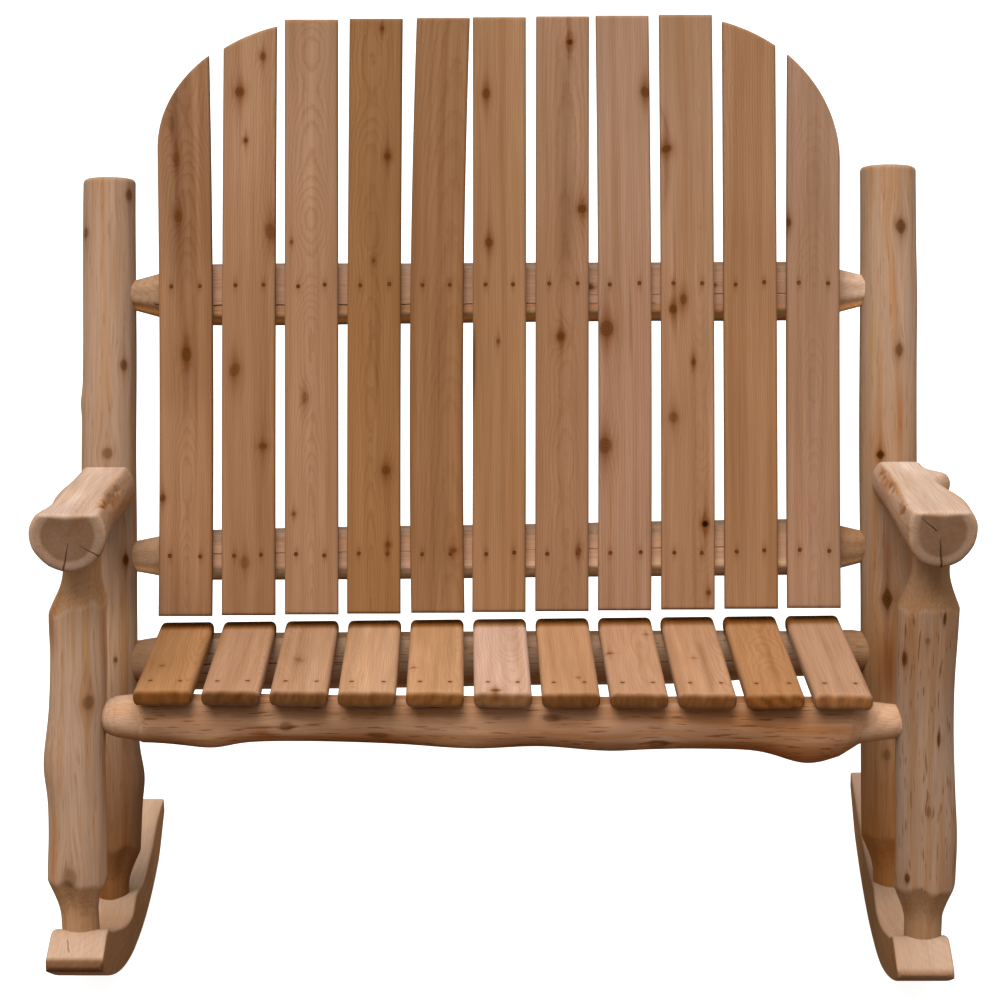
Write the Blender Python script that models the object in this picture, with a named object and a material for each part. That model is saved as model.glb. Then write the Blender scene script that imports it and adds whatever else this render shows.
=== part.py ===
"""Double adirondack rocking chair made of peeled logs and sawn slats.

Metres, +Z up. The chair faces -Y and its width runs along X. While the pieces
are placed, Y = 0 is the axis of the front posts and Z = 0 is the floor under
the rockers. At the end one empty moves the whole chair, so that the origin is
at the middle of its outline on the floor.
"""
from math import asin, cos, pi, radians, sin, sqrt, tan

import bmesh
import bpy
from mathutils import Matrix, Vector

# Fits and facets
CLEARANCE = 0.0003
LOG_SIDES = 16
SCREW_SIDES = 8
CORNER_FACETS = 7

# Side frames
SIDE_SPACING = 1.124
FOOT_SPACING = 0.322
RECLINE = radians(14.5)

# Rockers
ROCKER_WIDTH = 0.076
ROCKER_RADIUS = 1.0
ROCKER_THICKNESS = 0.062
ROCKER_CONTACT = 0.3365
ROCKER_FACET = radians(2.8)
ROCKER_EDGE = 0.006
ROCKER_SKEW = radians(1.1)
NOSE_REACH = 0.086
NOSE_FACE = 0.016
FRONT_PAD_HEIGHT = 0.131
BACK_PAD_HEIGHT = 0.069
PAD_LENGTH = 0.066
PAD_STEP = 0.020
LEFT_TAIL_ANGLE = radians(20.5)
RIGHT_TAIL_ANGLE = radians(23.5)

# Tenons of the posts in the rockers and arms, and of the rails in the posts
POST_TENON_RADIUS = 0.026
POST_TENON_LENGTH = 0.040
POST_NECK = 0.024
POST_SHOULDER = 0.052
RAIL_TENON_RADIUS = 0.025
RAIL_TENON_PAST_AXIS = 0.014
SEAT_RAIL_TAPER = 0.036
BACK_RAIL_TAPER = 0.090

# Logs
LEFT_FRONT_POST_RADIUS = 0.0395
RIGHT_FRONT_POST_RADIUS = 0.0425
LEFT_BACK_POST_RADIUS = 0.0390
RIGHT_BACK_POST_RADIUS = 0.0412
LEFT_BACK_POST_LENGTH = 1.028
RIGHT_BACK_POST_LENGTH = 1.046
FRONT_RAIL_RADIUS = 0.0360
REAR_RAIL_RADIUS = 0.0390
LOWER_RAIL_RADIUS = 0.0380
UPPER_RAIL_RADIUS = 0.0430
LOWER_RAIL_RISE = 0.4908
UPPER_RAIL_RISE = 0.866
LOG_LOBES = 0.016
SECOND_LOBES = 0.6
LOG_END_ROUND = 0.007

# Arms
ARM_HEIGHT = 0.703
ARM_TILT = radians(3.8)
ARM_OVERHANG = 0.090
ARM_FRONT_RADIUS = 0.0475
ARM_REAR_RADIUS = 0.0365
ARM_FLAT = 0.0240
LEFT_ARM_SPLAY = radians(-0.3)
RIGHT_ARM_SPLAY = radians(0.9)

# Slats
SLAT_COUNT = 11
SLAT_WIDTH = 0.0762
SLAT_THICKNESS = 0.022
SLAT_ROUND = 0.004
SEAT_HEIGHT = 0.4655
SEAT_TILT = radians(2.0)
SEAT_GAP = 0.0127
SEAT_FRONT_OVERHANG = 0.059
SEAT_REAR_OVERHANG = 0.008
SEAT_FLAT_DEPTH = 0.007
BACK_GAP = 0.0134
BACK_FLAT = 0.030
BACK_SLAT_LENGTH = 0.852
BACK_SLAT_STEP = 0.0013
BACK_SEAT_GAP = 0.018
CORNER_REACH = 0.238
CORNER_DROP = 0.186
CORNER_SLATS = 2
FLAT_MARGIN = 0.006

# Screws
SCREW_RADIUS = 0.0026
SCREW_HEAD_RADIUS = 0.0048
SCREW_HEAD_DEPTH = 0.0032
SCREW_SINK = 0.0015
SCREW_BITE = 0.012
LAG_RADIUS = 0.0042
LAG_HEAD_RADIUS = 0.0085
LAG_HEAD_DEPTH = 0.006
LAG_BITE = 0.055

LOG_WOOD = (0.52, 0.33, 0.20)
ROCKER_WOOD = (0.58, 0.38, 0.24)
SEAT_WOOD = (0.47, 0.26, 0.13)
BACK_WOOD = (0.46, 0.27, 0.15)
STEEL = (0.30, 0.28, 0.26)

SIDES = (("left", -1), ("right", 1))
SIDE_X = SIDE_SPACING / 2


def clear_scene():
    for item in list(bpy.data.objects):
        bpy.data.objects.remove(item)


def make_material(name, colour, roughness, metallic):
    material = bpy.data.materials.new(name)
    material.use_nodes = True
    shader = material.node_tree.nodes["Principled BSDF"]
    shader.inputs["Base Color"].default_value = (*colour, 1.0)
    shader.inputs["Roughness"].default_value = roughness
    shader.inputs["Metallic"].default_value = metallic
    return material


def add_object(name, body, placement, colour=None, roughness=0.7, metallic=0.0):
    """Add a finished bmesh as a named object under the chair's empty."""
    bmesh.ops.recalc_face_normals(body, faces=body.faces)
    mesh = bpy.data.meshes.new(name)
    body.to_mesh(mesh)
    body.free()
    mesh.shade_smooth()
    mesh.set_sharp_from_angle(angle=radians(30))
    item = bpy.data.objects.new(name, mesh)
    bpy.context.scene.collection.objects.link(item)
    item.parent = chair
    item.matrix_basis = placement
    if colour:
        mesh.materials.append(make_material(name + "_finish", colour, roughness, metallic))
    return item


def add_cutter(name, body, placement):
    item = add_object(name, body, placement)
    item.hide_render = True
    item.display_type = "WIRE"
    return item


def cut(target, cutter):
    modifier = target.modifiers.new(cutter.name, "BOOLEAN")
    modifier.operation = "DIFFERENCE"
    modifier.solver = "EXACT"
    modifier.object = cutter


def round_edges(target, width, angle):
    modifier = target.modifiers.new("rounded_edges", "BEVEL")
    modifier.width = width
    modifier.segments = 2
    modifier.limit_method = "ANGLE"
    modifier.angle_limit = angle


def along(start, end):
    """Placement whose local Z runs from start to end, with local Y as far up as it can be."""
    axis = (Vector(end) - Vector(start)).normalized()
    guide = Vector((0, 0, 1)) if abs(axis.z) < 0.7 else Vector((0, -1, 0))
    across = guide.cross(axis).normalized()
    upward = axis.cross(across)
    turn = Matrix((across, upward, axis)).transposed().to_4x4()
    return Matrix.Translation(start) @ turn


def turned_body(stations, sides, lobes=0.0, phase=0.0):
    """Closed round body along +Z from (distance, radius, share of lobes) stations."""
    body = bmesh.new()
    rings = []
    for distance, radius, share in stations:
        ring = []
        for index in range(sides):
            angle = 2 * pi * (index + 0.5) / sides
            wave = sin(2 * angle + phase + 7 * distance)
            wave += SECOND_LOBES * sin(3 * angle - 2 * phase - 11 * distance)
            reach = radius * (1 + lobes * share * wave)
            ring.append(body.verts.new((reach * cos(angle), reach * sin(angle), distance)))
        rings.append(ring)
    for lower, upper in zip(rings, rings[1:]):
        for index in range(sides):
            after = (index + 1) % sides
            body.faces.new((lower[index], lower[after], upper[after], upper[index]))
    body.faces.new(reversed(rings[0]))
    body.faces.new(rings[-1])
    return body


def log_stretch(start, end, first_radius, last_radius, count):
    """Stations of a log's own body: evenly spaced, tapering, with full lobes."""
    stations = []
    for index in range(count):
        part = index / (count - 1)
        radius = first_radius + (last_radius - first_radius) * part
        stations.append((start + (end - start) * part, radius, 1.0))
    return stations


def shoulder(start, end, first_radius, last_radius):
    """Stations of a bottle-necked shoulder between two radii, ends left out."""
    stations = []
    for part in (0.25, 0.5, 0.75):
        blend = part * part * (3 - 2 * part)
        radius = first_radius + (last_radius - first_radius) * blend
        stations.append((start + (end - start) * part, radius, 0.0))
    return stations


def rounded_end(radius):
    """(inset from the end, radius) pairs that round off a log's end, full radius first."""
    pairs = []
    for turn in (radians(0), radians(45), radians(90)):
        pairs.append((LOG_END_ROUND * (1 - sin(turn)), radius - LOG_END_ROUND * (1 - cos(turn))))
    return pairs


def seat_top(y):
    return SEAT_HEIGHT - y * tan(SEAT_TILT)


def back_point(x, forward, rise):
    """A point in the leaning back: forward of the post axis and up along it."""
    y = FOOT_SPACING + rise * sin(RECLINE) - forward * cos(RECLINE)
    z = BACK_PAD_HEIGHT + rise * cos(RECLINE) + forward * sin(RECLINE)
    return Vector((x, y, z))


def rise_above_seat(gap, forward):
    """How far up the leaning back a point lies a given height above the seat plane."""
    base = back_point(0, forward, 0)
    return (gap + seat_top(base.y) - base.z) / (cos(RECLINE) + sin(RECLINE) * tan(SEAT_TILT))


def rail_drop(radius):
    """Height of the seat plane above a seat rail's axis."""
    return (SLAT_THICKNESS + CLEARANCE + radius - SEAT_FLAT_DEPTH) / cos(SEAT_TILT)


def arm_height(y):
    """Height of the arms' axis at depth y."""
    return ARM_HEIGHT - ARM_FLAT / cos(ARM_TILT) - y * tan(ARM_TILT)


def arm_reach():
    """Depth at which the arms' axis crosses the axis of the back posts."""
    lean = tan(RECLINE)
    return (FOOT_SPACING + lean * (arm_height(0) - BACK_PAD_HEIGHT)) / (1 + lean * tan(ARM_TILT))


def arm_point(side, y):
    """A point on one arm's axis; the arm swings out or in about the back post."""
    splay = LEFT_ARM_SPLAY if side < 0 else RIGHT_ARM_SPLAY
    return Vector((side * (SIDE_X + (arm_reach() - y) * tan(splay)), y, arm_height(y)))


def post_radius(side, front):
    if front:
        return LEFT_FRONT_POST_RADIUS if side < 0 else RIGHT_FRONT_POST_RADIUS
    return LEFT_BACK_POST_RADIUS if side < 0 else RIGHT_BACK_POST_RADIUS


def rocker_outline(tail_angle):
    """Side outline of a rocker, counted round from the nose along the underside."""
    inner = ROCKER_RADIUS - ROCKER_THICKNESS

    def on_arc(radius, angle):
        return (ROCKER_CONTACT + radius * sin(angle), ROCKER_RADIUS - radius * cos(angle))

    def inner_arc(first_y, last_y):
        first = asin((first_y - ROCKER_CONTACT) / inner)
        last = asin((last_y - ROCKER_CONTACT) / inner)
        count = max(1, round(abs(last - first) / ROCKER_FACET))
        return [on_arc(inner, first + (last - first) * index / count) for index in range(count + 1)]

    nose_angle = asin((-NOSE_REACH - ROCKER_CONTACT) / ROCKER_RADIUS)
    first_facet = round(nose_angle / ROCKER_FACET)
    last_facet = round(tail_angle / ROCKER_FACET)
    nose = on_arc(ROCKER_RADIUS, nose_angle)
    points = [nose]
    for facet in range(first_facet + 1, last_facet):
        points.append(on_arc(ROCKER_RADIUS, (facet - 0.5) * ROCKER_FACET))
    points.append(on_arc(ROCKER_RADIUS, tail_angle))

    half = PAD_LENGTH / 2
    pad_rear = (FOOT_SPACING + half * cos(RECLINE), BACK_PAD_HEIGHT - half * sin(RECLINE))
    pad_front = (FOOT_SPACING - half * cos(RECLINE), BACK_PAD_HEIGHT + half * sin(RECLINE))
    tail = on_arc(inner, tail_angle)
    points += inner_arc(tail[0], pad_rear[0] + PAD_STEP)
    points += [pad_rear, pad_front]
    points += inner_arc(pad_front[0] - PAD_STEP, half + PAD_STEP)
    points += [(half, FRONT_PAD_HEIGHT), (-half, FRONT_PAD_HEIGHT)]
    points.append((nose[0], nose[1] + NOSE_FACE))
    return points


def rocker_x(side, y):
    """The middle of a rocker's width at depth y; both rockers are set slightly off square."""
    return side * SIDE_X + y * tan(ROCKER_SKEW)


def make_rocker(name, side, tail_angle):
    body = bmesh.new()
    outline = rocker_outline(tail_angle)
    near = [body.verts.new((-ROCKER_WIDTH / 2, y, z)) for y, z in outline]
    far = [body.verts.new((ROCKER_WIDTH / 2, y, z)) for y, z in outline]
    body.faces.new(reversed(near))
    body.faces.new(far)
    for index in range(len(outline)):
        after = (index + 1) % len(outline)
        body.faces.new((near[index], near[after], far[after], far[index]))
    place = Matrix.Translation((side * SIDE_X, 0, 0)) @ Matrix.Rotation(-ROCKER_SKEW, 4, "Z")
    rocker = add_object(name, body, place, ROCKER_WOOD)
    round_edges(rocker, ROCKER_EDGE, radians(35))
    return rocker


def post_foot(radius):
    """Stations from the tenon's end in the rocker up to the full log; 0 is the rocker's pad."""
    stations = [(-POST_TENON_LENGTH, POST_TENON_RADIUS, 0.0), (POST_NECK, POST_TENON_RADIUS, 0.0)]
    return stations + shoulder(POST_NECK, POST_NECK + POST_SHOULDER, POST_TENON_RADIUS, radius)


def arm_underside():
    """Height of the arms' underside above the front posts' axis."""
    return arm_height(0) - ARM_FRONT_RADIUS / cos(ARM_TILT)


def make_front_post(name, side):
    radius = post_radius(side, front=True)
    top = arm_underside() - FRONT_PAD_HEIGHT
    neck = top - POST_NECK
    stations = post_foot(radius)
    stations += log_stretch(POST_NECK + POST_SHOULDER, neck - POST_SHOULDER, radius, radius, 7)
    stations += shoulder(neck - POST_SHOULDER, neck, radius, POST_TENON_RADIUS)
    stations += [(neck, POST_TENON_RADIUS, 0.0), (top + POST_TENON_LENGTH, POST_TENON_RADIUS, 0.0)]
    place = Matrix.Translation((side * SIDE_X, 0, FRONT_PAD_HEIGHT))
    return add_object(name, turned_body(stations, LOG_SIDES, LOG_LOBES, side + 2), place, LOG_WOOD)


def back_post_place(side):
    return along(back_point(side * SIDE_X, 0, 0), back_point(side * SIDE_X, 0, 1))


def make_back_post(name, side):
    length = LEFT_BACK_POST_LENGTH if side < 0 else RIGHT_BACK_POST_LENGTH
    radius = post_radius(side, front=False)
    stations = post_foot(radius)
    stations += log_stretch(POST_NECK + POST_SHOULDER, length - 2 * LOG_END_ROUND, radius, radius, 12)
    stations += [(length - inset, shrunk, 0.0) for inset, shrunk in rounded_end(radius)]
    body = turned_body(stations, LOG_SIDES, LOG_LOBES, side - 1)
    return add_object(name, body, back_post_place(side), LOG_WOOD)


def cut_mortise(target, name, mouth, inward, radius, depth):
    """Cut a round mortise with clearance, from outside its mouth to just past the tenon's end."""
    reach = depth + CLEARANCE
    stations = [(-reach, radius + CLEARANCE, 0.0), (reach, radius + CLEARANCE, 0.0)]
    cut(target, add_cutter(name, turned_body(stations, LOG_SIDES), along(mouth, mouth + inward)))


def make_rail(name, axis, radius, taper, posts, front, phase):
    """A log rail across the chair, with its tenons let into both posts."""
    length = SIDE_SPACING + 2 * RAIL_TENON_PAST_AXIS
    left_face = RAIL_TENON_PAST_AXIS + post_radius(-1, front)
    right_face = length - RAIL_TENON_PAST_AXIS - post_radius(1, front)
    tenon = RAIL_TENON_RADIUS
    stations = [(0.0, tenon, 0.0), (left_face, tenon, 0.0)]
    stations += shoulder(left_face, left_face + taper, tenon, radius)
    stations += log_stretch(left_face + taper, right_face - taper, radius, radius, 10)
    stations += shoulder(right_face - taper, right_face, radius, tenon)
    stations += [(right_face, tenon, 0.0), (length, tenon, 0.0)]
    start = axis - Vector((length / 2, 0, 0))
    end = axis + Vector((length / 2, 0, 0))
    rail = add_object(name, turned_body(stations, LOG_SIDES, LOG_LOBES, phase), along(start, end), LOG_WOOD)
    for side_name, side in SIDES:
        half_post = post_radius(side, front)
        mouth = axis + Vector((side * (SIDE_X - half_post), 0, 0))
        mortise = f"{name}_{side_name}_mortise"
        depth = half_post + RAIL_TENON_PAST_AXIS
        cut_mortise(posts[side_name], mortise, mouth, Vector((side, 0, 0)), tenon, depth)
    return rail


def cut_box(target, name, size, place):
    body = bmesh.new()
    bmesh.ops.create_cube(body, size=1.0)
    bmesh.ops.scale(body, vec=size, verts=body.verts)
    cut(target, add_cutter(name, body, place))


def slat_field(gap):
    """Width of a whole row of slats."""
    return SLAT_COUNT * SLAT_WIDTH + (SLAT_COUNT - 1) * gap


def slat_middle(index, gap):
    return (index - (SLAT_COUNT - 1) / 2) * (SLAT_WIDTH + gap)


def seat_place(x, y, below):
    """Placement in the seat plane: local Y runs back along the slats, local Z up."""
    drop = Vector((0, -below * sin(SEAT_TILT), -below * cos(SEAT_TILT)))
    return Matrix.Translation(Vector((x, y, seat_top(y))) + drop) @ Matrix.Rotation(-SEAT_TILT, 4, "X")


def back_place(x, forward, rise):
    """Placement in the leaning back: local Y runs to the rear, local Z up along the posts."""
    return Matrix.Translation(back_point(x, forward, rise)) @ Matrix.Rotation(-RECLINE, 4, "X")


def flatten_seat_rail(rail, y, radius):
    """Saw the rail's top flat where the slats lie on it."""
    size = Vector((slat_field(SEAT_GAP) + 2 * FLAT_MARGIN, 4 * radius, radius))
    place = seat_place(0, y, SLAT_THICKNESS + CLEARANCE) @ Matrix.Translation((0, 0, radius / 2))
    cut_box(rail, rail.name + "_flat", size, place)


def flatten_back_rail(rail, rise, radius):
    """Saw the rail's front flat where the back slats lie on it."""
    size = Vector((slat_field(BACK_GAP) + 2 * FLAT_MARGIN, radius, 4 * radius))
    cut_box(rail, rail.name + "_flat", size, back_place(0, BACK_FLAT + radius / 2, rise))


def make_arm(name, side):
    """A log arm, sawn flat on top and coped to the back post at its rear end."""
    start = arm_point(side, -ARM_OVERHANG)
    end = arm_point(side, arm_reach())
    length = (end - start).length
    stations = [(inset, shrunk, 0.0) for inset, shrunk in reversed(rounded_end(ARM_FRONT_RADIUS))]
    stations += log_stretch(2 * LOG_END_ROUND, length, ARM_FRONT_RADIUS, ARM_REAR_RADIUS, 7)
    body = turned_body(stations, LOG_SIDES, LOG_LOBES, 3 * side)
    arm = add_object(name, body, along(start, end), LOG_WOOD)
    upward = Vector((0, sin(ARM_TILT), cos(ARM_TILT)))
    waste = ARM_FRONT_RADIUS
    middle = (start + end) / 2 + upward * (ARM_FLAT + waste / 2)
    size = Vector((4 * ARM_FRONT_RADIUS, 2 * length, waste))
    cut_box(arm, name + "_flat", size, Matrix.Translation(middle) @ Matrix.Rotation(-ARM_TILT, 4, "X"))
    cope = post_radius(side, front=False) * (1 + LOG_LOBES * (1 + SECOND_LOBES)) + CLEARANCE
    stations = [(0.0, cope, 0.0), (LEFT_BACK_POST_LENGTH, cope, 0.0)]
    cut(arm, add_cutter(name + "_cope", turned_body(stations, 2 * LOG_SIDES), back_post_place(side)))
    return arm


def make_slat(name, outline, place, colour):
    """A slat of one thickness from its outline, top face at local Z = 0."""
    body = bmesh.new()
    top = [body.verts.new((x, y, 0)) for x, y in outline]
    under = [body.verts.new((x, y, -SLAT_THICKNESS)) for x, y in outline]
    body.faces.new(top)
    body.faces.new(reversed(under))
    for index in range(len(outline)):
        after = (index + 1) % len(outline)
        body.faces.new((top[index], under[index], under[after], top[after]))
    slat = add_object(name, body, place, colour)
    round_edges(slat, SLAT_ROUND, radians(50))


def make_seat_slats(rear_rail_y):
    length = (rear_rail_y + SEAT_REAR_OVERHANG + SEAT_FRONT_OVERHANG) / cos(SEAT_TILT)
    half = SLAT_WIDTH / 2
    outline = [(-half, 0), (half, 0), (half, length), (-half, length)]
    for index in range(SLAT_COUNT):
        place = seat_place(slat_middle(index, SEAT_GAP), -SEAT_FRONT_OVERHANG, 0)
        make_slat(f"seat_slat_{index + 1:02d}", outline, place, SEAT_WOOD)


def corner_drop(x):
    """How far the rounded outline of the whole back lies below its flat top at x."""
    inside = slat_field(BACK_GAP) / 2 - abs(x)
    part = max(0.0, 1 - inside / CORNER_REACH)
    return CORNER_DROP * (1 - sqrt(max(0.0, 1 - part * part)))


def make_back_slats():
    half = SLAT_WIDTH / 2
    forward = BACK_FLAT + CLEARANCE + SLAT_THICKNESS
    bottom = rise_above_seat(BACK_SEAT_GAP, forward)
    for index in range(SLAT_COUNT):
        x = slat_middle(index, BACK_GAP)
        outline = [(-half, 0), (half, 0)]
        if CORNER_SLATS <= index < SLAT_COUNT - CORNER_SLATS:
            outline += [(half, BACK_SLAT_LENGTH), (-half, BACK_SLAT_LENGTH)]
        else:
            for part in range(CORNER_FACETS + 1):
                across = half - SLAT_WIDTH * part / CORNER_FACETS
                outline.append((across, BACK_SLAT_LENGTH - corner_drop(x + across)))
        rise = bottom + (index - (SLAT_COUNT - 1) / 2) * BACK_SLAT_STEP
        place = back_place(x, forward, rise) @ Matrix.Rotation(pi / 2, 4, "X")
        make_slat(f"back_slat_{index + 1:02d}", outline, place, BACK_WOOD)


def screw_stations(length, size, grow):
    """A countersunk screw from its head, 0, to its point; grow makes its hole."""
    radius, head_radius, head_depth = size
    return [
        (-grow, head_radius + grow, 0.0),
        (head_depth, radius + grow, 0.0),
        (length - 3 * radius, radius + grow, 0.0),
        (length + grow, radius / 3 + grow, 0.0),
    ]


def make_screw(name, surface, direction, length, targets, size):
    """A screw sunk below a surface point, with its own hole in every piece it passes."""
    head = surface + direction * SCREW_SINK
    place = along(head, head + direction)
    add_object(name, turned_body(screw_stations(length, size, 0.0), SCREW_SIDES), place, STEEL, 0.4, 1.0)
    hole = screw_stations(length, size, CLEARANCE)
    mouth = (-SCREW_SINK - 4 * size[1], size[1] + CLEARANCE, 0.0)
    cutter = add_cutter(name + "_hole", turned_body([mouth] + hole, SCREW_SIDES), place)
    for target in targets:
        cut(target, cutter)


def stand_on_floor():
    """Move the chair so that its outline is centred on the origin and rests on Z = 0."""
    bpy.context.view_layer.update()
    graph = bpy.context.evaluated_depsgraph_get()
    points = []
    for item in chair.children:
        if not item.hide_render:
            solid = item.evaluated_get(graph)
            points += [solid.matrix_world @ vertex.co for vertex in solid.data.vertices]
    low = [min(point[axis] for point in points) for axis in range(3)]
    high = [max(point[axis] for point in points) for axis in range(3)]
    chair.location = (-(low[0] + high[0]) / 2, -(low[1] + high[1]) / 2, -low[2])


clear_scene()
chair = bpy.data.objects.new("chair", None)
bpy.context.scene.collection.objects.link(chair)

screw_size = (SCREW_RADIUS, SCREW_HEAD_RADIUS, SCREW_HEAD_DEPTH)
lag_size = (LAG_RADIUS, LAG_HEAD_RADIUS, LAG_HEAD_DEPTH)
upward = Vector((0, 0, 1))
leaning = Vector((0, sin(RECLINE), cos(RECLINE)))

front_posts = {}
back_posts = {}
rockers = {}
for side_name, side in SIDES:
    tail_angle = LEFT_TAIL_ANGLE if side < 0 else RIGHT_TAIL_ANGLE
    rockers[side_name] = make_rocker(f"{side_name}_rocker", side, tail_angle)
    front_posts[side_name] = make_front_post(f"{side_name}_front_post", side)
    back_posts[side_name] = make_back_post(f"{side_name}_back_post", side)

# Each post stands in the rocker below it, and a screw from the outside locks the tenon.
for side_name, side in SIDES:
    rocker = rockers[side_name]
    feet = (
        ("front", front_posts[side_name], Vector((side * SIDE_X, 0, FRONT_PAD_HEIGHT)), upward),
        ("back", back_posts[side_name], back_point(side * SIDE_X, 0, 0), leaning),
    )
    for end_name, post, foot, axis in feet:
        mortise = f"{side_name}_{end_name}_foot_mortise"
        cut_mortise(rocker, mortise, foot, -axis, POST_TENON_RADIUS, POST_TENON_LENGTH)
        surface = foot - axis * POST_TENON_LENGTH / 2
        surface.x = rocker_x(side, surface.y) + side * ROCKER_WIDTH / 2
        length = ROCKER_WIDTH / 2 + SCREW_BITE
        screw = f"{side_name}_{end_name}_foot_screw"
        make_screw(screw, surface, Vector((-side, 0, 0)), length, (rocker, post), screw_size)

# The arms sit on the front posts and end against the back posts.
for side_name, side in SIDES:
    arm = make_arm(f"{side_name}_arm", side)
    mouth = Vector((side * SIDE_X, 0, arm_underside()))
    cut_mortise(arm, f"{side_name}_arm_mortise", mouth, upward, POST_TENON_RADIUS, POST_TENON_LENGTH)
    surface = mouth + upward * POST_TENON_LENGTH / 2
    surface.x = arm_point(side, 0).x + side * ARM_FRONT_RADIUS
    length = ARM_FRONT_RADIUS + SCREW_BITE
    targets = (arm, front_posts[side_name])
    make_screw(f"{side_name}_arm_screw", surface, Vector((-side, 0, 0)), length, targets, screw_size)
    forward = (arm_point(side, 0) - arm_point(side, arm_reach())).normalized()
    half_post = post_radius(side, front=False)
    surface = arm_point(side, arm_reach()) - forward * half_post
    targets = (back_posts[side_name], arm)
    make_screw(f"{side_name}_arm_lag_screw", surface, forward, 2 * half_post + LAG_BITE, targets, lag_size)

# The four rails tie the two sides together, and a screw from behind locks each tenon.
front_axis = Vector((0, 0, seat_top(0) - rail_drop(FRONT_RAIL_RADIUS)))
rear_axis = back_point(0, 0, rise_above_seat(-rail_drop(REAR_RAIL_RADIUS), 0))
lower_axis = back_point(0, 0, LOWER_RAIL_RISE)
upper_axis = back_point(0, 0, UPPER_RAIL_RISE)
front_rail = make_rail("front_seat_rail", front_axis, FRONT_RAIL_RADIUS, SEAT_RAIL_TAPER, front_posts, True, 0)
rear_rail = make_rail("rear_seat_rail", rear_axis, REAR_RAIL_RADIUS, SEAT_RAIL_TAPER, back_posts, False, 1)
lower_rail = make_rail("lower_back_rail", lower_axis, LOWER_RAIL_RADIUS, BACK_RAIL_TAPER, back_posts, False, 2)
upper_rail = make_rail("upper_back_rail", upper_axis, UPPER_RAIL_RADIUS, BACK_RAIL_TAPER, back_posts, False, 3)
flatten_seat_rail(front_rail, front_axis.y, FRONT_RAIL_RADIUS)
flatten_seat_rail(rear_rail, rear_axis.y, REAR_RAIL_RADIUS)
flatten_back_rail(lower_rail, LOWER_RAIL_RISE, LOWER_RAIL_RADIUS)
flatten_back_rail(upper_rail, UPPER_RAIL_RISE, UPPER_RAIL_RADIUS)

rail_joints = (
    (front_rail, front_axis, front_posts, True),
    (rear_rail, rear_axis, back_posts, False),
    (lower_rail, lower_axis, back_posts, False),
    (upper_rail, upper_axis, back_posts, False),
)
for rail, axis, posts, front in rail_joints:
    forward = Vector((0, -1, 0)) if front else Vector((0, -cos(RECLINE), sin(RECLINE)))
    for side_name, side in SIDES:
        half_post = post_radius(side, front)
        surface = axis + Vector((side * SIDE_X, 0, 0)) - forward * half_post
        targets = (posts[side_name], rail)
        screw = f"{rail.name}_{side_name}_screw"
        make_screw(screw, surface, forward, half_post + SCREW_BITE, targets, screw_size)

make_seat_slats(rear_axis.y)
make_back_slats()
stand_on_floor()
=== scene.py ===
from math import cos, pi, radians, sin, tan

import bpy
import numpy as np
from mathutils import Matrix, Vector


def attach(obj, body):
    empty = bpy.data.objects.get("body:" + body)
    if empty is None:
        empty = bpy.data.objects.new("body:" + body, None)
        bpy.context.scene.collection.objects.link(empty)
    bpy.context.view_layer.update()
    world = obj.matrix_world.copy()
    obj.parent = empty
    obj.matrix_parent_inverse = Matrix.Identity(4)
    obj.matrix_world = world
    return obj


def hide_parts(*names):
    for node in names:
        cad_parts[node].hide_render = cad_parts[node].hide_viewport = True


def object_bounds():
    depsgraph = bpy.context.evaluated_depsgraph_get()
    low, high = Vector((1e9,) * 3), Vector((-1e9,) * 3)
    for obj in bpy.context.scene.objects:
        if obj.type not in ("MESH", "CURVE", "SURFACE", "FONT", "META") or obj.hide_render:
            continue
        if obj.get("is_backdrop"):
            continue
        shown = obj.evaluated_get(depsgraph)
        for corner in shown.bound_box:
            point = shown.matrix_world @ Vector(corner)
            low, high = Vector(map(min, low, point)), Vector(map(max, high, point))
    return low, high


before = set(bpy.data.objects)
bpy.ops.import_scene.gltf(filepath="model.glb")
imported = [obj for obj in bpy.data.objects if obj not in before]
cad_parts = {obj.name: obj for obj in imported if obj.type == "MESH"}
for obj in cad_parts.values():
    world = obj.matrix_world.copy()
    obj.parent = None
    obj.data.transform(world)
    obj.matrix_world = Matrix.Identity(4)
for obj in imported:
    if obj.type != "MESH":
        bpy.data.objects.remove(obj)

cad_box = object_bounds()

# Rockers
# Two runners bandsawn from thick softwood plank, their edges rounded over with a router.
# The posts stand in round mortises on a pad near the nose and on a smaller one further back.
CHAIR_SHIFT = np.array((-0.0060, -0.3203, -0.0003))
ROCKER_RADIUS = 1.0
ROCKER_WIDTH = 0.076
ROCKER_NOSE = -0.0868
SIDE_X = 0.562
RECLINE = radians(14.5)
MM = 0.001
PALE_SAWN = np.array((0.330, 0.218, 0.150))


def through(stations, at):
    """Smooth curve through stations: each span is the cubic whose end slopes are the
    differences between the neighbouring stations. The first column is the place."""
    table = np.asarray(stations, float)
    place, value = table[:, 0], table[:, 1:]
    slope = np.gradient(value, place, axis=0)
    at = np.clip(np.asarray(at, float), place[0], place[-1])
    span = np.clip(np.searchsorted(place, at, "right") - 1, 0, len(place) - 2)
    width = (place[span + 1] - place[span])[..., None]
    t = (at - place[span])[..., None] / width
    rise, fall = t * t * (3 - 2 * t), t * (1 - t)
    level = value[span] * (1 - rise) + value[span + 1] * rise
    return level + width * (slope[span] * fall * (1 - t) - slope[span + 1] * fall * t)


def step(low, high, value):
    """0 below low, 1 above high, and the smooth cubic 3t^2 - 2t^3 between them."""
    t = np.clip((value - low) / (high - low), 0, 1)
    return t * t * (3 - 2 * t)


def bell(offset, width):
    """Bell curve: e to the minus square of offset over width."""
    return np.exp(-(offset / width) ** 2)


def set_up(name, data):
    """New object in the scene, at the origin."""
    item = bpy.data.objects.new(name, data)
    bpy.context.scene.collection.objects.link(item)
    return item


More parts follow.
